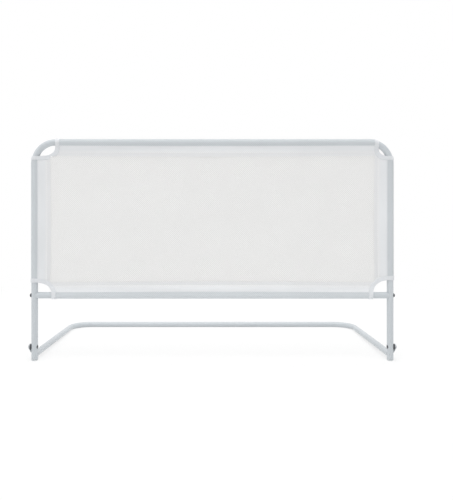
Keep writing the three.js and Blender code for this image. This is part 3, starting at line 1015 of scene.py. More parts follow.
def turned(outline: Outline, side: Side, at: Vector, socket: "HexSocket | None" = None,
           facets: int = ROUND_FACETS) -> bmesh.types.BMesh:
    """Turns an outline about an axis along X that points out of the rail.

    Args:
        outline: points of radius and height, the height growing outwards.
        side: the end of the rail that it is on.
        at: where the axis starts.
        socket: a socket at the outline's open end.
        facets: how many go round.

    Returns:
        The mesh, in place.
    """
    bm = bmesh.new()
    verts = [bm.verts.new((height, 0, radius)) for radius, height in outline]
    edges = [bm.edges.new(pair) for pair in zip(verts, verts[1:])]
    bmesh.ops.spin(bm, geom=[*verts, *edges], cent=(0, 0, 0), axis=X_AXIS, angle=FULL_TURN, steps=facets,
                   use_merge=True)
    weld(bm)
    if socket:
        crown = outline[-1][1]
        mouth = [edge for edge in bm.edges if edge.is_boundary
                 and all(abs(vert.co.x - crown) < FLAT_WITHIN for vert in edge.verts)]
        socket.cut(bm, mouth)
        weld(bm)
    bmesh.ops.scale(bm, vec=(side.value, 1, 1), verts=bm.verts)
    bmesh.ops.translate(bm, vec=at, verts=bm.verts)
    bmesh.ops.recalc_face_normals(bm, faces=bm.faces)
    return bm


def rounded(outline: Outline, corner: float) -> Outline:
    """Rounds the inner corners of an outline with short curves.

    Args:
        outline: its points.
        corner: how far from a corner its curve starts, at most.

    Returns:
        The new outline.
    """
    points = [Vector(point) for point in outline]
    smooth = [points[0]]
    for before, here, after in zip(points, points[1:], points[2:]):
        reach = min(corner, (before - here).length * CORNER_SHARE, (after - here).length * CORNER_SHARE)
        start = here + (before - here).normalized() * reach
        end = here + (after - here).normalized() * reach
        for step in range(CORNER_STEPS + 1):
            share = step / CORNER_STEPS
            smooth.append(start.lerp(here, share).lerp(here.lerp(end, share), share))
    smooth.append(points[-1])
    return [(point.x, point.y) for point in smooth]


def ring_outline(outer: float, inner: float, start: float, end: float) -> Outline:
    """Outline of a washer, closed on itself, from the middle of its bore."""
    middle = (start + end) / 2
    return [(inner, middle), (inner, start), (outer, start), (outer, end), (inner, end), (inner, middle)]


@dataclass(frozen=True)
class TubePlug:
    """A moulded plug: a flange of the tube's own size, with a broken rim, and a stem inside the bore."""

    flange: float
    chamfer: float
    stem: float
    softness: float

    def mesh(self, layout: Layout, turn: Matrix, at: Vector) -> bmesh.types.BMesh:
        """Makes the plug.

        Args:
            layout: gives the tube's size.
            turn: turns the plug, whose stem points along X.
            at: where the middle of its outer face comes.

        Returns:
            The mesh, in place.
        """
        radius, end = layout.tube_radius, self.flange + self.stem
        stem_radius = layout.bore_radius - layout.fit_gap
        outline = [(0, 0), (radius - self.chamfer, 0), (radius, self.chamfer), (radius, self.flange),
                   (stem_radius, self.flange), (stem_radius, end), (0, end)]
        bm = turned(rounded(outline, self.softness), Side.RIGHT, Vector((0, 0, 0)))
        bmesh.ops.rotate(bm, verts=bm.verts, cent=(0, 0, 0), matrix=turn)
        bmesh.ops.translate(bm, vec=at, verts=bm.verts)
        return bm


@dataclass
class GuardFrame:
    """The bent frame tube, its crossbar, its feet and the fasteners on it."""

    layout: Layout
    finishes: Finishes
    foot_plug: TubePlug = TubePlug(flange=4.0 * MM, chamfer=1.4 * MM, stem=12.0 * MM, softness=0.5 * MM)
    screw: Fastener = Fastener(shank=5.0 * MM, head_height=3.6 * MM, socket=HexSocket(3.0 * MM, 1.6 * MM))
    bolt: Fastener = Fastener(shank=6.0 * MM, head_height=3.2 * MM, socket=HexSocket(4.0 * MM, 1.8 * MM))
    nut_socket: HexSocket = HexSocket(4.0 * MM, 1.2 * MM)
    nut_floor: float = 2.5 * MM
    rim: float = 0.35 * MM
    drill_from: float = 0.5
    drill_to: float = 1.5

    def build(self) -> None:
        """Makes every piece."""
        crossbar_z, pivot_z = self.layout.crossbar_z, self.layout.pivot.z
        dark, pale = self.finishes.dark_steel, self.finishes.zinc
        self.tube()
        self.crossbar()
        for side in Side:
            self.foot(side)
            self.headed(f"crossbar_screw_{side.word}", side, crossbar_z, self.screw, dark, Slot.DARK_STEEL)
            self.headed(f"pivot_bolt_{side.word}", side, pivot_z, self.bolt, pale, Slot.ZINC)
            self.washer(side)
            self.nut(side)
            self.inner_plug(side)

    def tube(self) -> None:
        """The frame tube: up one leg, across the top and down the other, with its holes."""
        at = self.layout
        start = at.on_leg(Side.LEFT, at.leg_end_z)
        bm = u_tube(at, start, Z_AXIS, at.top_z - at.frame_bend - at.leg_end_z, at.frame_bend)
        for z in (at.pivot.z, at.crossbar_z):
            for beyond in (z - at.tube_radius, z + at.tube_radius):
                slice_at(bm, Vector((0, 0, beyond)), Z_AXIS)
        bm = drilled(bm, [hole for side in Side for hole in self.leg_holes(side)])
        finished("frame_tube_painted", bm, self.finishes.paint, Body.GUARD, Slot.PAINT, ["guard_frame_tube"])

    def leg_holes(self, side: Side) -> list[Hole]:
        """The holes in a leg: for the pivot bolt, its nut and the crossbar screw.

        Args:
            side: the end of the rail that the leg is on.

        Returns:
            Both ends and the radius of each hole.
        """
        at = self.layout
        inside, outside = at.bore_radius * self.drill_from, at.tube_radius * self.drill_to
        holes = [
            (at.pivot.z, inside, outside, self.bolt.shank / 2),
            (at.pivot.z, -inside, -outside, node_radius(f"pivot_nut_{side.word}")),
            (at.crossbar_z, -outside, outside, self.screw.shank / 2),
        ]
        return [(at.on_leg(side, z, start), at.on_leg(side, z, end), radius + at.fit_gap)
                for z, start, end, radius in holes]

    def crossbar(self) -> None:
        """The crossbar, each end coped to the round of its leg."""
        at = self.layout
        start = at.on_leg(Side.LEFT, at.crossbar_z)
        bm = BentTube(at.tube_radius, at.bore_radius, start, X_AXIS).straight(2 * at.leg_x).closed()
        saddle = at.tube_radius + at.fit_gap
        for vert in bm.verts:
            from_leg = math.sqrt(saddle ** 2 - (vert.co.y - at.plane_y) ** 2)
            vert.co.x = math.copysign(at.leg_x - from_leg, vert.co.x)
        finished("crossbar_painted", bm, self.finishes.paint, Body.GUARD, Slot.PAINT, ["crossbar_tube"])

    def foot(self, side: Side) -> None:
        """A foot cap, whose flange stands on the floor.

        Args:
            side: the end of the rail that it is on.
        """
        node = f"foot_cap_{side.word}"
        upright = Matrix.Rotation(-QUARTER_TURN, 3, "Y")
        bm = self.foot_plug.mesh(self.layout, upright, self.layout.on_leg(side, 0))
        finished(f"{node}_moulded", bm, self.finishes.plastic, Body.GUARD, Slot.PALE_PLASTIC, [node])

    def headed(self, node: str, side: Side, z: float, fastener: Fastener, finish: bpy.types.Material,
               slot: Slot) -> None:
        """A screw or bolt through a leg.

        Args:
            node: its CAD node.
            side: the end of the rail that it is on.
            z: the height of its axis.
            fastener: its shank, head and socket.
            finish: its finish.
            slot: the record's slot that the finish comes from.
        """
        tip, crown = self.layout.outward(node, side)
        radius, shank = node_radius(node), fastener.shank / 2
        base = crown - fastener.head_height
        outline = [(0, tip), (shank - self.rim, tip), (shank, tip + self.rim), (shank, base),
                   (radius - self.rim / 2, base)]
        mouth = fastener.socket.mouth_radius()
        outline += dome(radius, fastener.head_height - self.rim, base + self.rim, mouth)
        bm = turned(outline, side, self.layout.on_leg(side, z), fastener.socket)
        finished(f"{node}_turned", bm, finish, Body.GUARD, slot, [node])

    def washer(self, side: Side) -> None:
        """A nylon washer between the leg and the plate.

        Args:
            side: the end of the rail that it is on.
        """
        node, at = f"pivot_washer_{side.word}", self.layout
        outline = ring_outline(node_radius(node), self.bolt.shank / 2 + at.fit_gap, *at.outward(node, side))
        bm = turned(rounded(outline, self.rim), side, at.on_leg(side, at.pivot.z))
        finished(f"{node}_moulded", bm, self.finishes.nylon, Body.GUARD, Slot.BLACK_PLASTIC, [node])

    def nut(self, side: Side) -> None:
        """The barrel nut in the leg's inner side, with its own socket facing inwards.

        Args:
            side: the end of the rail that it is on.
        """
        node, at = f"pivot_nut_{side.word}", self.layout
        start, end = at.outward(node, side)
        radius, bore = node_radius(node), self.bolt.shank / 2 + at.fit_gap
        floor = -start - self.nut_floor
        outline = [(0, floor), (bore, floor), (bore, -end), (radius, -end), (radius, -start - self.rim * 2),
                   (radius - self.rim * 2, -start), (self.nut_socket.mouth_radius(), -start)]
        bm = turned(outline, Side(-side.value), at.on_leg(side, at.pivot.z), self.nut_socket)
        finished(f"{node}_turned", bm, self.finishes.dark_steel, Body.GUARD, Slot.DARK_STEEL, [node])

    def inner_plug(self, side: Side) -> None:
        """The threaded plug stays the CAD node, out of sight in the crossbar, with its own finish.

        Args:
            side: the end of the rail that it is on.
        """
        node = frame["nodes"][f"crossbar_plug_{side.word}"]
        node.data.materials.clear()
        node.data.materials.append(self.finishes.nylon)


@dataclass
class FoldingBase:
    """The bent base tube with its end plugs, hinge plates and rivets."""

    layout: Layout
    finishes: Finishes
    plug: TubePlug = TubePlug(flange=2.0 * MM, chamfer=0.8 * MM, stem=6.0 * MM, softness=0.4 * MM)
    plate_thickness: float = 1.5 * MM
    plate_step: float = 5.0 * MM
    plate_step_cuts: int = 8
    plate_pivot_radius: float = 7.5 * MM
    plate_end_radius: float = 8.0 * MM
    plate_end_rise: float = 2.0 * MM
    plate_edge: float = 0.45 * MM
    plate_edge_cuts: int = 3
    plate_corner: float = math.radians(60)
    eye_radius: float = 3.3 * MM
    arc_steps: int = 20
    rivet_shank: float = 4.0 * MM
    rivet_head_height: float = 1.5 * MM
    rivet_tail_height: float = 2.2 * MM
    rivet_tail_spread: float = 0.9 * MM

    def build(self) -> None:
        """Makes every piece."""
        self.tube()
        for side in Side:
            self.end_plug(side)
            self.plate(side)
            for number in (1, 2):
                self.rivet(side, number)

    @property
    def start(self) -> float:
        """Where the end plugs face the legs.

        Returns:
            The distance behind the pivots, along the base's plane.
        """
        at = self.layout
        lean = (at.base_drop + at.tube_radius) * math.sin(at.base_slope)
        return (at.tube_radius + at.fit_gap + lean) / math.cos(at.base_slope)

    def done(self, name: str, bm: bmesh.types.BMesh, material: bpy.types.Material, slot: Slot,
             node: str) -> None:
        """Moves a mesh that was made about the pivots to the open rail, and shows it.

        Args:
            name: the piece's name.
            bm: its mesh, which is freed.
            material: its finish.
            slot: the record's slot that the finish comes from.
            node: the CAD node that it stands for.
        """
        bmesh.ops.transform(bm, matrix=self.layout.base_place(), verts=bm.verts)
        finished(name, bm, material, Body.BASE, slot, [node])

    def tube(self) -> None:
        """The base tube: out from behind one leg, across, and back to the other."""
        at = self.layout
        first = self.start + self.plug.flange + at.fit_gap
        start = Vector((-at.leg_x, first, -at.base_drop))
        bm = u_tube(at, start, Y_AXIS, at.base_reach - at.base_bend - first, at.base_bend)
        self.done("base_tube_painted", bm, self.finishes.paint, Slot.PAINT, "base_tube")

    def end_plug(self, side: Side) -> None:
        """A plug that closes the base tube behind its leg.

        Args:
            side: the end of the rail that it is on.
        """
        node, at = f"base_end_plug_{side.word}", self.layout
        place = Vector((side.value * at.leg_x, self.start, -at.base_drop))
        bm = self.plug.mesh(at, Matrix.Rotation(QUARTER_TURN, 3, "Z"), place)
        self.done(f"{node}_moulded", bm, self.finishes.plastic, Slot.PALE_PLASTIC, node)

    def rivet_reach(self, side: Side, number: int) -> float:
        """How far a rivet's axis lies behind the pivots.

        Args:
            side: the end of the rail that it is on.
            number: 1 for the rivet nearer to the pivot, and 2 for the other.

        Returns:
            The distance along the base's plane.
        """
        low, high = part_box(f"plate_rivet_{side.word}_{number}")
        apart = (low + high) / 2 - self.layout.pivot
        slope = self.layout.base_slope
        return apart.y * math.cos(slope) - apart.z * math.sin(slope)

    def plate(self, side: Side) -> None:
        """A stamped plate round the pivot eye and two rivets, stepped between them, with soft edges.

        Args:
            side: the end of the rail that it is on.
        """
        node = f"hinge_plate_{side.word}"
        low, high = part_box(node)
        inner_x = low.x if side is Side.RIGHT else high.x
        bm = self.flat_plate(side)
        self.step_in(bm, side, high.x - low.x - self.plate_thickness)
        made = bmesh.ops.extrude_face_region(bm, geom=bm.faces[:])["geom"]
        bmesh.ops.translate(bm, vec=(self.plate_thickness * side.value, 0, 0),
                            verts=of_kind(made, bmesh.types.BMVert))
        bmesh.ops.recalc_face_normals(bm, faces=bm.faces)
        corners = [edge for edge in bm.edges
                   if edge.is_manifold and edge.calc_face_angle() > self.plate_corner]
        bmesh.ops.bevel(bm, geom=corners, offset=self.plate_edge, offset_type="OFFSET",
                        segments=self.plate_edge_cuts, profile=0.5, affect="EDGES", material=-1)
        bmesh.ops.translate(bm, vec=(inner_x, 0, 0), verts=bm.verts)
        self.done(f"{node}_painted", bm, self.finishes.paint, Slot.PAINT, node)

    def flat_plate(self, side: Side) -> bmesh.types.BMesh:
        """Cuts a plate from flat sheet, with its eye and its two rivet holes.

        Args:
            side: the end of the rail that it is on.

        Returns:
            The plate, one layer of faces in the plane of Y and Z.
        """
        rivets = [self.rivet_reach(side, number) for number in (1, 2)]
        end_z = self.plate_end_rise - self.layout.base_drop
        circles = [(Vector((0, 0)), self.plate_pivot_radius)]
        circles += [(Vector((y, end_z)), self.plate_end_radius) for y in rivets]
        hole_radius = self.rivet_shank / 2 + self.layout.fit_gap
        holes = [(0.0, 0.0, self.eye_radius), *((y, -self.layout.base_drop, hole_radius) for y in rivets)]
        bm = bmesh.new()
        edges = self.outline_round(bm, circles)
        for y, z, radius in holes:
            place = Matrix.Translation((0, y, z)) @ Matrix.Rotation(QUARTER_TURN, 4, "Y")
            hole = bmesh.ops.create_circle(bm, radius=radius, segments=SMALL_FACETS, matrix=place)["verts"]
            edges += list({edge for vert in hole for edge in vert.link_edges})
        bmesh.ops.triangle_fill(bm, use_beauty=True, edges=edges, normal=X_AXIS)
        return bm

    def step_in(self, bm: bmesh.types.BMesh, side: Side, offset: float) -> None:
        """Steps a flat plate: its eye stands out over the washer, and its other end lies on the base tube.

        Args:
            bm: the flat plate, in the plane of Y and Z.
            side: the end of the rail that it is on.
            offset: how far the eye stands out.
        """
        start = node_radius(f"pivot_washer_{side.word}") + self.layout.fit_gap
        count = self.plate_step_cuts
        cuts = [start + self.plate_step * cut / count for cut in range(count + 1)]
        for y in (start - self.plate_edge, *cuts, cuts[-1] + self.plate_edge):
            slice_at(bm, Vector((0, y, 0)), Y_AXIS)
        for vert in bm.verts:
            share = min(max((vert.co.y - start) / self.plate_step, 0.0), 1.0)
            vert.co.x += side.value * offset * (0.5 + 0.5 * math.cos(math.pi * share))

    def outline_round(self, bm: bmesh.types.BMesh, circles: list[tuple[Vector, float]]) -> Loop:
        """Draws the outline round circles in order, in the plane of Y and Z.

        Args:
            bm: the mesh that gets the outline.
            circles: centre and radius of each circle.

        Returns:
            The outline's edges.
        """
        def touch_angle(start: tuple[Vector, float], end: tuple[Vector, float]) -> float:
            """The turn at which the straight line from one circle to the next leaves and meets them."""
            apart = end[0] - start[0]
            return math.atan2(apart.y, apart.x) - math.acos((start[1] - end[1]) / apart.length)

        last = None
        for index, (centre, radius) in enumerate(circles):
            before = circles[index - 1]
            after = circles[(index + 1) % len(circles)]
            first_angle = touch_angle(before, (centre, radius))
            sweep = (touch_angle((centre, radius), after) - first_angle) % FULL_TURN
            start = bm.verts.new((0, centre.x + radius * math.cos(first_angle),
                                  centre.y + radius * math.sin(first_angle)))
            if last:
                bm.edges.new((last, start))
            made = bmesh.ops.spin(bm, geom=[start], cent=(0, centre.x, centre.y), axis=X_AXIS,
                                  dvec=(0, 0, 0), angle=sweep, steps=self.arc_steps)["geom_last"]
            last = of_kind(made, bmesh.types.BMVert)[0]
        weld(bm)
        bm.edges.new([vert for vert in bm.verts if len(vert.link_edges) == 1])
        return bm.edges[:]

    def rivet(self, side: Side, number: int) -> None:
        """A rivet through the plate and the tube's outer wall.

        Args:
            side: the end of the rail that it is on.
            number: 1 for the rivet nearer to the pivot, and 2 for the other.
        """
        node, at = f"plate_rivet_{side.word}_{number}", self.layout
        end, crown = at.outward(node, side)
        radius, shank = node_radius(node), self.rivet_shank / 2
        base, tail = crown - self.rivet_head_height, end + self.rivet_tail_height
        spread = shank + self.rivet_tail_spread
        outline = [(0, end), (spread, end), (spread, tail), (shank, tail), (shank, base), (radius, base)]
        outline += dome(radius, self.rivet_head_height, base, 0.0)[1:]
        place = Vector((side.value * at.leg_x, self.rivet_reach(side, number), -at.base_drop))
        bm = turned(outline, side, place, facets=SMALL_FACETS)
        self.done(f"{node}_turned", bm, self.finishes.zinc, Slot.ZINC, node)


@dataclass(frozen=True)
class Cutout:
    """A rounded corner of the cover, about the point where two tube axes cross."""

    node: str
    centre: Vector
    inward: Vector
    reach: Vector
    squareness: float
    least_share: float = 0.01

    @classmethod
    def from_frame(cls, node: str, layout: Layout, tape_width: float, squareness: float) -> "Cutout":
        """Reads the corner from the binding that goes round it.

        Args:
            node: the binding's CAD node.
            layout: gives the axes of the tubes.
            tape_width: how wide the binding is.
            squareness: 2 for an oval corner, and more for a squarer one.

        Returns:
            The corner.
        """
        low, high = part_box(node)
        right, top = node.endswith("right"), "top" in node
        centre = Vector((layout.leg_x if right else -layout.leg_x,
                         layout.top_z if top else layout.crossbar_z))
        far = Vector((low.x if right else high.x, low.z if top else high.z))
        reach = Vector((abs(far.x - centre.x) - tape_width, abs(far.y - centre.y) - tape_width))
        return cls(node, centre, Vector((-1 if right else 1, -1 if top else 1)), reach, squareness)

    def share(self, x: float, z: float, border: float = 0.0) -> float:
        """Where a place lies between the centre and the corner's edge.

        Args:
            x, z: the place.
            border: how much further out the edge is taken.

        Returns:
            0 at the centre, 1 on the edge, and more past it.
        """
        across = abs(x - self.centre.x) / (self.reach.x + border)
        up = abs(z - self.centre.y) / (self.reach.y + border)
        return (across ** self.squareness + up ** self.squareness) ** (1 / self.squareness)

    def past(self, x: float, z: float) -> float:
        """How far a place lies past the corner's edge, seen from the centre."""
        share = max(self.share(x, z), self.least_share)
        return math.hypot(x - self.centre.x, z - self.centre.y) * (1 - 1 / share)

    def edge(self, turn: float, border: float) -> tuple[float, float]:
        """A place on the corner's edge.

        Args:
            turn: how far round it is, from the bar that runs across to the leg, in radians.
            border: how much further out the edge is taken.

        Returns:
            Its X and Z.
        """
        across = math.cos(turn) ** (2 / self.squareness) * (self.reach.x + border)
        up = math.sin(turn) ** (2 / self.squareness) * (self.reach.y + border)
        return self.centre.x + self.inward.x * across, self.centre.y + self.inward.y * up


@dataclass(frozen=True)
class NetLattice:
    """Diamond net that is laid flat and then moved into place."""

    pitch: float
    thread: float
    thread_rise: float
    layer: str = "net_pattern"

    def laid(self, width: float, height: float, place: Callable[[float, float, float], Vector],
             kept: Callable[[Vector], bool]) -> bmesh.types.BMesh:
        """Nets a flat rectangle and moves it into place.

        Args:
            width, height: the flat size.
            place: where a flat point goes, from its place along, its place across and its height.
            kept: whether the diamond about a place stays.

        Returns:
            The mesh, in place.
        """
        bm = bmesh.new()
        bmesh.ops.create_grid(bm, x_segments=round(width / self.pitch),
                              y_segments=round(height / self.pitch), size=0.5)
        bmesh.ops.scale(bm, vec=(width, height, 1), verts=bm.verts)
        square_edges = [edge for edge in bm.edges if not edge.is_boundary]
        bmesh.ops.poke(bm, faces=bm.faces[:])
        bmesh.ops.dissolve_edges(bm, edges=square_edges, use_verts=False, use_face_split=False)
        gone = [face for face in bm.faces if not kept(place(*face.calc_center_median()))]
        bmesh.ops.delete(bm, geom=gone, context="FACES")
        gaps = bm.faces[:]
        bmesh.ops.inset_individual(bm, faces=gaps, thickness=self.thread / 2, depth=-self.thread_rise,
                                   use_even_offset=True)
        bmesh.ops.delete(bm, geom=gaps, context="FACES")
        lay_out(bm, self.layer, lambda corner: corner.vert.co.xy)
        for vert in bm.verts:
            vert.co = place(*vert.co)
        return bm


@dataclass(frozen=True)
class Sleeve:
    """Net folded round a bar and sewn to itself: a round part, two flanks and a seam strip.

    The run goes along the bar, from low to high, and the seam direction points from the bar to the net.
    """

    bar: Vector
    run: Vector
    seam: Vector
    depth: float
    low: float
    high: float
    bend_low: float
    bend_high: float
    bend: float
    radius: float
    strip: float
    lip: float
    bow: float
    bend_share: float = 0.77

    def wrap_at(self, depth: float, stretch: float = 1.0) -> tuple[float, Vector, Vector, float]:
        """Works out half the wrap of a section.

        Args:
            depth: how far the seam lies from the bar's axis.
            stretch: how many times longer the bar's section is towards the seam.

        Returns:
            Width of cloth on half the round of the bar, the places where the flank leaves the bar and
            meets the seam strip, and the flank's width.
        """
        touch = math.acos(self.radius / depth)
        leave = Vector((self.radius * stretch * math.cos(touch), self.radius * math.sin(touch)))
        meet = Vector((depth - self.strip, self.lip))
        return self.radius * (math.pi - touch), leave, meet, (meet - leave).length

    @property
    def half(self) -> tuple[float, float]:
        """Width of cloth on half the round of the straight bar, and on one flank."""
        arc, _, _, flank = self.wrap_at(self.depth)
        return arc, flank

    def past_bar(self, travel: float) -> float:
        """How far a point of the cloth lies past the bar's edge.

        Args:
            travel: how far it lies round the sleeve, from the bar's far side.

        Returns:
            The distance along the cloth, which is negative on the bar.
        """
        arc, flank = self.half
        leave = self.radius ** 2 / self.depth
        return travel - arc - flank * (self.radius - leave) / (self.depth - self.strip - leave)

    def depth_at(self, u: float) -> float:
        """Depth of the seam from the bar's axis, which is drawn towards the net at mid length."""
        share = (2 * u - self.low - self.high) / (self.high - self.low)
        return self.depth + self.bow * (0.5 - share ** 2)

    def bar_at(self, u: float) -> tuple[float, float]:
        """What the bar's bend does to its section.

        Args:
            u: place along the run.

        Returns:
            How far its axis is drawn in, and how many times longer its cut section is.
        """
        over = min(max(0.0, u - self.bend_high, self.bend_low - u), self.bend * self.bend_share)
        rise = math.sqrt(self.bend ** 2 - over ** 2)
        return self.bend - rise, self.bend / rise

    def section(self, u: float, share: float) -> tuple[Vector, Vector]:
        """A point of the wrapped section, and the way out of the cloth there.

        Args:
            u: place along the run.
            share: from -1 at the seam in front, round the bar at 0, to 1 at the seam behind.

        Returns:
            The point and the outward direction, each as its reach towards the seam and its reach backwards.
        """
        shift, stretch = self.bar_at(u)
        arc, leave, meet, flank = self.wrap_at(self.depth_at(u) - shift, stretch)
        travel = abs(share) * (arc + flank + self.strip)
        if travel <= arc:
            angle = math.pi - travel / self.radius
            way = Vector((math.cos(angle), math.sin(angle)))
            point = Vector((way.x * self.radius * stretch, way.y * self.radius))
        elif travel <= arc + flank:
            point = leave.lerp(meet, (travel - arc) / flank)
            way = Vector((leave.y - meet.y, meet.x - leave.x)).normalized()
        else:
            point = meet + Vector((travel - arc - flank, 0))
            way = Vector((0, 1))
        back = 1 if share > 0 else -1
        return Vector((point.x + shift, point.y * back)), Vector((way.x, way.y * back))

    def wrap_length(self) -> float:
        """How wide the flat net is, from seam to seam round the bar."""
        return 2 * (sum(self.half) + self.strip)

    def place(self, u: float, share: float, rise: float = 0.0) -> Vector:
        """Where a point of the cloth lies on the rail.

        Args:
            u: place along the run.
            share: place round the section, from -1 to 1.
            rise: how far it stands out of the cloth.

        Returns:
            The place.
        """
        point, way = self.section(u, share)
        point = point + way * rise
        return self.bar + self.run * u + self.seam * point.x + Y_AXIS * point.y


@dataclass
class NetCover:
    """The net cover: a stretched panel, four sleeves, four bound corners and its sewing."""

    layout: Layout
    finishes: Finishes
    tape_width: float = 10.5 * MM
    top_squareness: float = 3.2
    bottom_squareness: float = 2.2
    strip: float = 10.0 * MM
    net_radius: float = 8.65 * MM
    lip: float = 0.75 * MM
    bow: float = 2.6 * MM
    under_strip: float = 9.0 * MM
    under_tape: float = 6.0 * MM
    voxel: float = 0.6 * MM
    stitch_pitch: float = 4.2 * MM
    stitch_length: float = 3.2 * MM
    stitch_radius: float = 0.34 * MM
    tape_stitch_offset: float = 8.2 * MM
    tape_stitch_ends: tuple[float, float] = (0.3, 0.7)
    drop_height: float = 50 * MM
    drop_least_slope: float = 0.2
    smooth_rounds: int = 6
    smooth_share: float = 0.5
    cloth_sharp: float = 80.0
    tape_sharp: float = 120.0
    faces_between_samples: int = 50
    ripple_height: float = 0.35 * MM
    ripple_hold: float = 48.0
    ripple_waves: tuple[tuple[float, float, float, float], ...] = (
        (1.0, 31.0, 4.0, 0.0), (0.7, 17.0, -23.0, 1.0), (0.5, 0.0, 41.0, 2.0))
    lattice: NetLattice = NetLattice(4.85 * MM, 2.1 * MM, 0.28 * MM)
    zone_layer: str = "net_zones"
    tape_layer: str = "tape_pattern"
    cutouts: list[Cutout] = field(init=False)
    sleeves: dict[str, Sleeve] = field(init=False)

    def __post_init__(self) -> None:
        """Reads the corners and the sleeves' places from the frame."""
        at = self.layout
        squareness = {"top": self.top_squareness, "bottom": self.bottom_squareness}
        self.cutouts = [Cutout.from_frame(f"corner_binding_{row}_{side.word}", at, self.tape_width, square)
                        for row, square in squareness.items() for side in Side]
        panel_low, panel_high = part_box("mesh_panel")
        side_depth = at.leg_x - panel_high.x - at.fit_gap
        bend_x, bend_z = at.leg_x - at.frame_bend, at.top_z - at.frame_bend
        common = {"bend": at.frame_bend, "radius": self.net_radius, "strip": self.strip, "lip": self.lip,
                  "bow": self.bow}
        rows = {"top": (at.top_z, -Z_AXIS, at.top_z - panel_high.z, bend_x),
                "bottom": (at.crossbar_z, Z_AXIS, panel_low.z - at.crossbar_z, at.leg_x)}
        self.sleeves = {name: Sleeve(
            bar=Vector((0, at.plane_y, z)), run=X_AXIS, seam=seam, depth=depth - at.fit_gap,
            low=-at.leg_x, high=at.leg_x, bend_low=-bend, bend_high=bend, **common)
            for name, (z, seam, depth, bend) in rows.items()}
        for side in Side:
            self.sleeves[side.word] = Sleeve(
                bar=at.on_leg(side, 0), run=Z_AXIS, seam=-side.value * X_AXIS, depth=side_depth,
                low=at.crossbar_z, high=at.top_z, bend_low=-at.top_z, bend_high=bend_z, **common)

    def build(self) -> None:
        """Makes every piece."""
        bindings = [self.binding(cutout) for cutout in self.cutouts]
        stitches = self.stitches(bindings)
        sleeves = [self.sleeve(name) for name in self.sleeves]
        self.panel()

    def outside_corners(self, place: Vector, margin: float) -> bool:
        """Whether a place keeps this margin from every rounded corner."""
        return all(cutout.share(place.x, place.z, margin) > 1 for cutout in self.cutouts)

    def seam_x(self, side: Side, z: float) -> float:
        """Where a side seam lies at a height."""
        return side.value * (self.layout.leg_x - self.sleeves[side.word].depth_at(z))

    def panel(self) -> None:
        """The stretched net between the seams, with slight ripples.
        """
        at = self.layout
        top, bottom = self.sleeves["top"], self.sleeves["bottom"]
        width = 2 * (at.leg_x - self.sleeves["left"].depth + self.under_strip)
        height = at.top_z - top.depth - at.crossbar_z - bottom.depth + 2 * self.under_strip

        def place(along: float, across: float, rise: float) -> Vector:
            """Moves a flat point of the panel between the four bowed seams.

            Args:
                along, across: its place on the flat panel.
                rise: its height over it.

            Returns:
                Its place on the rail.
            """
            x_share, z_share = along / width + 0.5, across / height + 0.5
            z = at.crossbar_z + bottom.depth + z_share * (height - 2 * self.under_strip)
            low_x = self.seam_x(Side.LEFT, z) - self.under_strip
            high_x = self.seam_x(Side.RIGHT, z) + self.under_strip
            x = low_x + x_share * (high_x - low_x)
            low_z = at.crossbar_z + bottom.depth_at(x) - self.under_strip
            high_z = at.top_z - top.depth_at(x) + self.under_strip
            z = low_z + z_share * (high_z - low_z)
            return Vector((x, at.plane_y + self.ripple(x, z, x_share, z_share) - rise, z))

        bm = self.lattice.laid(width, height, place,
                               lambda spot: self.outside_corners(spot, self.under_tape))
        piece = finished("net_panel", bm, self.finishes.net, Body.GUARD, Slot.NET, ["mesh_panel"],
                         sharp=self.cloth_sharp)

    def ripple(self, x: float, z: float, x_share: float, z_share: float) -> float:
        """How far the stretched net stands off its plane, in low waves that die out at the seams.

        Args:
            x, z: the place.
            x_share, z_share: where it lies between the seams, from 0 to 1.

        Returns:
            The distance, backwards.
        """
        hold = self.ripple_hold * x_share * (1 - x_share) * z_share * (1 - z_share)
        waves = sum(strength * math.sin(x * along + z * up + start)
                    for strength, along, up, start in self.ripple_waves)
        return self.ripple_height * min(1.0, max(0.0, hold)) * waves

    def sleeve(self, name: str) -> bpy.types.Object:
        """One sleeve, cut at the corners under the tape.

        Args:
            name: its place on the rail.

        Returns:
            The piece.
        """
        sleeve = self.sleeves[name]
        length = sleeve.high - sleeve.low
        wrap = sleeve.wrap_length()
        middle = (sleeve.low + sleeve.high) / 2

        def place(along: float, across: float, rise: float) -> Vector:
            """Wraps a flat point of the net round the bar."""
            return sleeve.place(middle + along, 2 * across / wrap, rise)

        def kept(spot: Vector) -> bool:
            """Keeps what lies between the corners and past no crossing seam.

            Args:
                spot: a place on the sleeve.

            Returns:
                Whether the net is kept there.
            """
            if not self.outside_corners(spot, self.under_tape):
                return False
            if name in ("top", "bottom"):
                return all(side.value * (spot.x - self.seam_x(side, spot.z)) < 0 for side in Side)
            top, bottom = self.sleeves["top"], self.sleeves["bottom"]
            return (self.layout.crossbar_z + bottom.depth_at(spot.x) < spot.z + self.strip
                    and spot.z - self.strip < self.layout.top_z - top.depth_at(spot.x))

        bm = self.lattice.laid(length, wrap, place, kept)
        self.zoned(bm, sleeve)
        self.face_outwards(bm, sleeve)
        low = name == "bottom"
        # The bottom sleeve takes the yarn whose bar zone has the lighter painted light.
        finish = self.finishes.low_hem if low else self.finishes.hem
        piece = finished(f"net_sleeve_{name}", bm, finish, Body.GUARD, Slot.HEM, [f"sleeve_{name}"],
                         sharp=self.cloth_sharp)
        cut_away = sum(cutout.reach.x if sleeve.run is X_AXIS else cutout.reach.y for cutout in self.cutouts
                       if name in cutout.node)
        length - cut_away
        return piece

    def zoned(self, bm: bmesh.types.BMesh, sleeve: Sleeve) -> None:
        """Notes how far each point of the cloth lies past the bar and past the flank.

        Args:
            bm: the sleeve's mesh, which gets the layer.
            sleeve: its measures.
        """
        flat = bm.loops.layers.uv[self.lattice.layer]

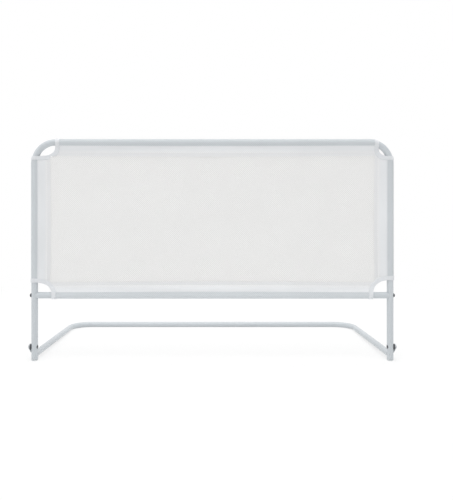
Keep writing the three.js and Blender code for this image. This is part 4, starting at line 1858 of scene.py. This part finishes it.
        def zone(corner: bmesh.types.BMLoop) -> tuple[float, float]:
            """Measures one corner of a face."""
            travel = abs(corner[flat].uv.y)
            return sleeve.past_bar(travel), travel - sum(sleeve.half)

        lay_out(bm, self.zone_layer, zone)

    def face_outwards(self, bm: bmesh.types.BMesh, sleeve: Sleeve) -> None:
        """Turns the cloth's faces away from the bar.

        Args:
            bm: the sleeve's mesh.
            sleeve: its measures.
        """
        bm.normal_update()
        outward = sum((1 if (face.calc_center_median() - sleeve.bar).dot(face.normal) > 0 else -1)
                      for face in list(bm.faces)[::self.faces_between_samples] if abs(face.normal.y) > 0.5)
        if outward < 0:
            bmesh.ops.reverse_faces(bm, faces=bm.faces)

    def binding(self, cutout: Cutout) -> bpy.types.Object:
        """The tape round one corner, softened from the CAD node's own shape.

        Args:
            cutout: the corner.

        Returns:
            The piece.
        """
        bm = bmesh.new()
        bm.from_mesh(frame["nodes"][cutout.node].data)
        weld(bm)
        bm = reshaped(bm, self.soften)
        lay_out(bm, self.tape_layer, lambda corner: self.tape_place(cutout, corner.vert.co))
        return finished(f"{cutout.node}_tape", bm, self.finishes.tape, Body.GUARD, Slot.TAPE, [cutout.node],
                        sharp=self.tape_sharp)

    def soften(self, carrier: bpy.types.Object) -> None:
        """Rounds a hard shape as tape is, with fine even faces.

        Args:
            carrier: the object that gets the modifiers.
        """
        remesh = carrier.modifiers.new("remesh", "REMESH")
        remesh.mode = "VOXEL"
        remesh.voxel_size = self.voxel
        smooth = carrier.modifiers.new("smooth", "SMOOTH")
        smooth.iterations = self.smooth_rounds
        smooth.factor = self.smooth_share

    def tape_place(self, cutout: Cutout, co: Vector) -> tuple[float, float]:
        """Where a point lies on the tape.

        Args:
            cutout: the corner that the tape goes round.
            co: the point.

        Returns:
            How far along the tape it is, round the corner and the bars, and how far across.
        """
        across = (co.x - cutout.centre.x) * cutout.inward.x
        up = (co.z - cutout.centre.y) * cutout.inward.y
        turn = math.atan2(up / cutout.reach.y, across / cutout.reach.x)
        along = turn * (cutout.reach.x + cutout.reach.y) / 2
        depth = abs(co.y - self.layout.plane_y)
        near_leg = max(0.0, 1 - abs(across) / (2 * self.layout.tube_radius))
        near_bar = max(0.0, 1 - abs(up) / (2 * self.layout.tube_radius))
        return along + depth * (near_leg - near_bar), cutout.past(co.x, co.z)

    def stitches(self, bindings: list[bpy.types.Object]) -> bpy.types.Object:
        """The sewing: a row along each seam strip, in front and behind, and a row along each tape.

        Args:
            bindings: the tapes, in the order of the corners.

        Returns:
            The piece.
        """
        bm = bmesh.new()
        for place, along, out in [*self.seam_stitches(), *self.tape_stitches(bindings)]:
            self.stitch(bm, place, along, out)
        return finished("cover_stitching", bm, self.finishes.thread, Body.GUARD, Slot.TAPE)

    def stitch(self, bm: bmesh.types.BMesh, place: Vector, along: Vector, out: Vector) -> None:
        """One stitch: a short round thread that dips into the cloth at both ends.

        Args:
            bm: the mesh that gets it.
            place: its middle.
            along: the way of the row.
            out: the way out of the cloth.
        """
        side = along.cross(out).normalized()
        turn = Matrix((along, side, out)).transposed().to_4x4()
        size = Matrix.Diagonal((self.stitch_length / 2, self.stitch_radius, self.stitch_radius, 1))
        at = Matrix.Translation(place)
        bmesh.ops.create_icosphere(bm, subdivisions=1, radius=1, matrix=at @ turn @ size)

    def seam_stitches(self) -> Iterable[tuple[Vector, Vector, Vector]]:
        """Works out the stitches along the seam strips.

        Returns:
            Place, way of the row and way out of the cloth, one stitch after another.
        """
        for name, sleeve in self.sleeves.items():
            whole = sleeve.wrap_length() / 2
            share = 1 - self.strip / 2 / whole
            count = int((sleeve.high - sleeve.low) / self.stitch_pitch)
            for index in range(count):
                u = sleeve.low + (index + 0.5) * self.stitch_pitch
                for face in (-share, share):
                    place = sleeve.place(u, face)
                    beyond = sleeve.place(u + self.stitch_pitch, face)
                    if self.outside_corners(place, self.tape_width) and self.within_cover(name, place):
                        yield place, (beyond - place).normalized(), Vector((0, math.copysign(1, face), 0))

    def within_cover(self, name: str, place: Vector) -> bool:
        """Whether a seam is still between the two seams that cross it.

        Args:
            name: the sleeve that the seam is on.
            place: a place on the seam.

        Returns:
            True when it is.
        """
        if name in ("top", "bottom"):
            return all(side.value * (place.x - self.seam_x(side, place.z)) < self.strip for side in Side)
        return (self.layout.crossbar_z + self.sleeves["bottom"].depth - self.strip < place.z
                < self.layout.top_z - self.sleeves["top"].depth + self.strip)

    def tape_stitches(self, bindings: list[bpy.types.Object]) -> Iterable[tuple[Vector, Vector, Vector]]:
        """Works out the stitches along the tapes, dropped onto the tape from in front and from behind.

        Args:
            bindings: the tapes, in the order of the corners.

        Returns:
            Place, way of the row and way out of the cloth, one stitch after another.
        """
        for cutout, binding in zip(self.cutouts, bindings):
            bm = bmesh.new()
            bm.from_mesh(binding.data)
            surface = BVHTree.FromBMesh(bm)
            bm.free()
            count = int(QUARTER_TURN * (cutout.reach.x + cutout.reach.y) / 2 / self.stitch_pitch)
            for index in range(count):
                spots = [QUARTER_TURN * (index + part) / count for part in self.tape_stitch_ends]
                for back in (-1, 1):
                    ends = [self.dropped(surface, *cutout.edge(turn, self.tape_stitch_offset), back)
                            for turn in spots]
                    if None in ends:
                        continue
                    (start, out), (end, _) = ends
                    along = (end - start).normalized()
                    yield (start + end) / 2, along, (out - along * out.dot(along)).normalized()

    def dropped(self, surface: BVHTree, x: float, z: float, back: int) -> "tuple[Vector, Vector] | None":
        """Drops a place onto the tape.

        Args:
            surface: the tape.
            x, z: the place.
            back: 1 from behind and -1 from in front.

        Returns:
            Where it lands and the way out of the tape there, or None where it misses or lands on an edge.
        """
        high = Vector((x, self.layout.plane_y + back * self.drop_height, z))
        place, normal, _, _ = surface.ray_cast(high, -back * Y_AXIS)
        return None if place is None or abs(normal.y) < self.drop_least_slope else (place, normal)


@dataclass(frozen=True)
class Softbox:
    """A square lamp."""

    name: str
    place: Triple
    size: float
    power: float

    def light(self, target: Vector) -> None:
        """Hangs the lamp.

        Args:
            target: the point that it faces.
        """
        data = bpy.data.lights.new(self.name, "AREA")
        data.shape = "SQUARE"
        data.size = self.size
        data.energy = self.power
        lamp = bpy.data.objects.new(self.name, data)
        lamp.location = self.place
        lamp.rotation_euler = (target - Vector(self.place)).to_track_quat("-Z", "Y").to_euler()
        bpy.context.scene.collection.objects.link(lamp)


@dataclass
class Studio:
    """White studio: a floor that only shows the shadow, a white surround, soft lamps and the camera."""

    layout: Layout
    lamps: tuple[Softbox, ...] = (
        Softbox("overhead_lamp", (0, -0.6, 4.0), size=3.0, power=88),
        Softbox("key_lamp", (-2.4, -3.8, 3.6), size=3.0, power=10),
        Softbox("side_lamp", (-4.0, -0.9, 1.6), size=2.4, power=14),
    )
    floor_size: float = 14.0
    paper: Colour = (0.9, 0.9, 0.9)
    paper_roughness: float = 0.9
    shadow_share: float = 0.3
    shadow_reach: float = 1.4
    surround_level: float = 0.74
    camera_distance: float = 1.375
    camera_height: float = 0.374
    lens: float = 39.8
    shift: tuple[float, float] = (0.0282, -0.08)

    def build(self) -> None:
        """Sets the whole studio up."""
        bpy.context.scene.view_settings.view_transform = "Standard"
        self.floor()
        self.surround()
        for lamp in self.lamps:
            lamp.light(Vector((0, self.layout.plane_y, self.layout.top_z / 2)))
        self.camera()

    def floor(self) -> None:
        """A plain floor, white to the camera but for the shadow on it."""
        bm = bmesh.new()
        bmesh.ops.create_grid(bm, x_segments=1, y_segments=1, size=self.floor_size / 2)
        floor = put_in_scene("studio_floor", bm)
        floor.data.materials.append(self.floor_finish())

    def floor_finish(self) -> bpy.types.Material:
        """White paper that keeps a soft shadow near the rail and fades to plain white.

        Returns:
            The finish.
        """
        nodes = FinishNodes("studio_paper")
        nodes.set(Base_Color=self.paper, Roughness=self.paper_roughness)
        glow = nodes.node("ShaderNodeEmission", inputs={"Color": WHITE, "Strength": 1.0})
        x, y, _ = nodes.parts(nodes.places())
        near = (self.shadow_reach - nodes.maths("SQRT", x * x + y * y)).clamped()
        mixed = nodes.node("ShaderNodeMixShader", inputs={
            0: nodes.looked_at() * (1 - near * self.shadow_share), 1: nodes.shader.outputs["BSDF"],
            2: glow.outputs["Emission"]})
        nodes.feed(nodes.output.inputs["Surface"], mixed.outputs["Shader"])
        return nodes.material

    def surround(self) -> None:
        """A surround that is white to the camera and in reflections, and plain soft light elsewhere."""
        world = bpy.data.worlds.new("studio_surround")
        bpy.context.scene.world = world
        world.use_nodes = True
        nodes = NodeTree(world.node_tree)
        lit, white = (nodes.node("ShaderNodeBackground", inputs={"Color": WHITE, "Strength": strength})
                      for strength in (self.surround_level, 1.0))
        mixed = nodes.node("ShaderNodeMixShader", inputs={
            0: nodes.looked_at(), 1: lit.outputs[0], 2: white.outputs[0]})
        nodes.node("ShaderNodeOutputWorld", inputs={"Surface": mixed.outputs[0]})

    def camera(self) -> None:
        """A level camera in front of the rail."""
        data = bpy.data.cameras.new("studio_camera")
        data.lens = self.lens
        data.shift_x, data.shift_y = self.shift
        data.dof.use_dof = False
        camera = bpy.data.objects.new("studio_camera", data)
        camera.location = (0, self.layout.plane_y - self.camera_distance, self.camera_height)
        camera.rotation_euler = (QUARTER_TURN, 0, 0)
        bpy.context.scene.collection.objects.link(camera)
        bpy.context.scene.camera = camera


def main() -> None:
    """Builds the studio and every sub-assembly in order."""
    logging.basicConfig(level=logging.INFO, format="%(message)s")
    layout = Layout.from_frame()
    Studio(layout).build()
    finishes = Finishes()
    GuardFrame(layout, finishes).build()
    FoldingBase(layout, finishes).build()
    NetCover(layout, finishes).build()


if __name__ == "__main__":
    main()
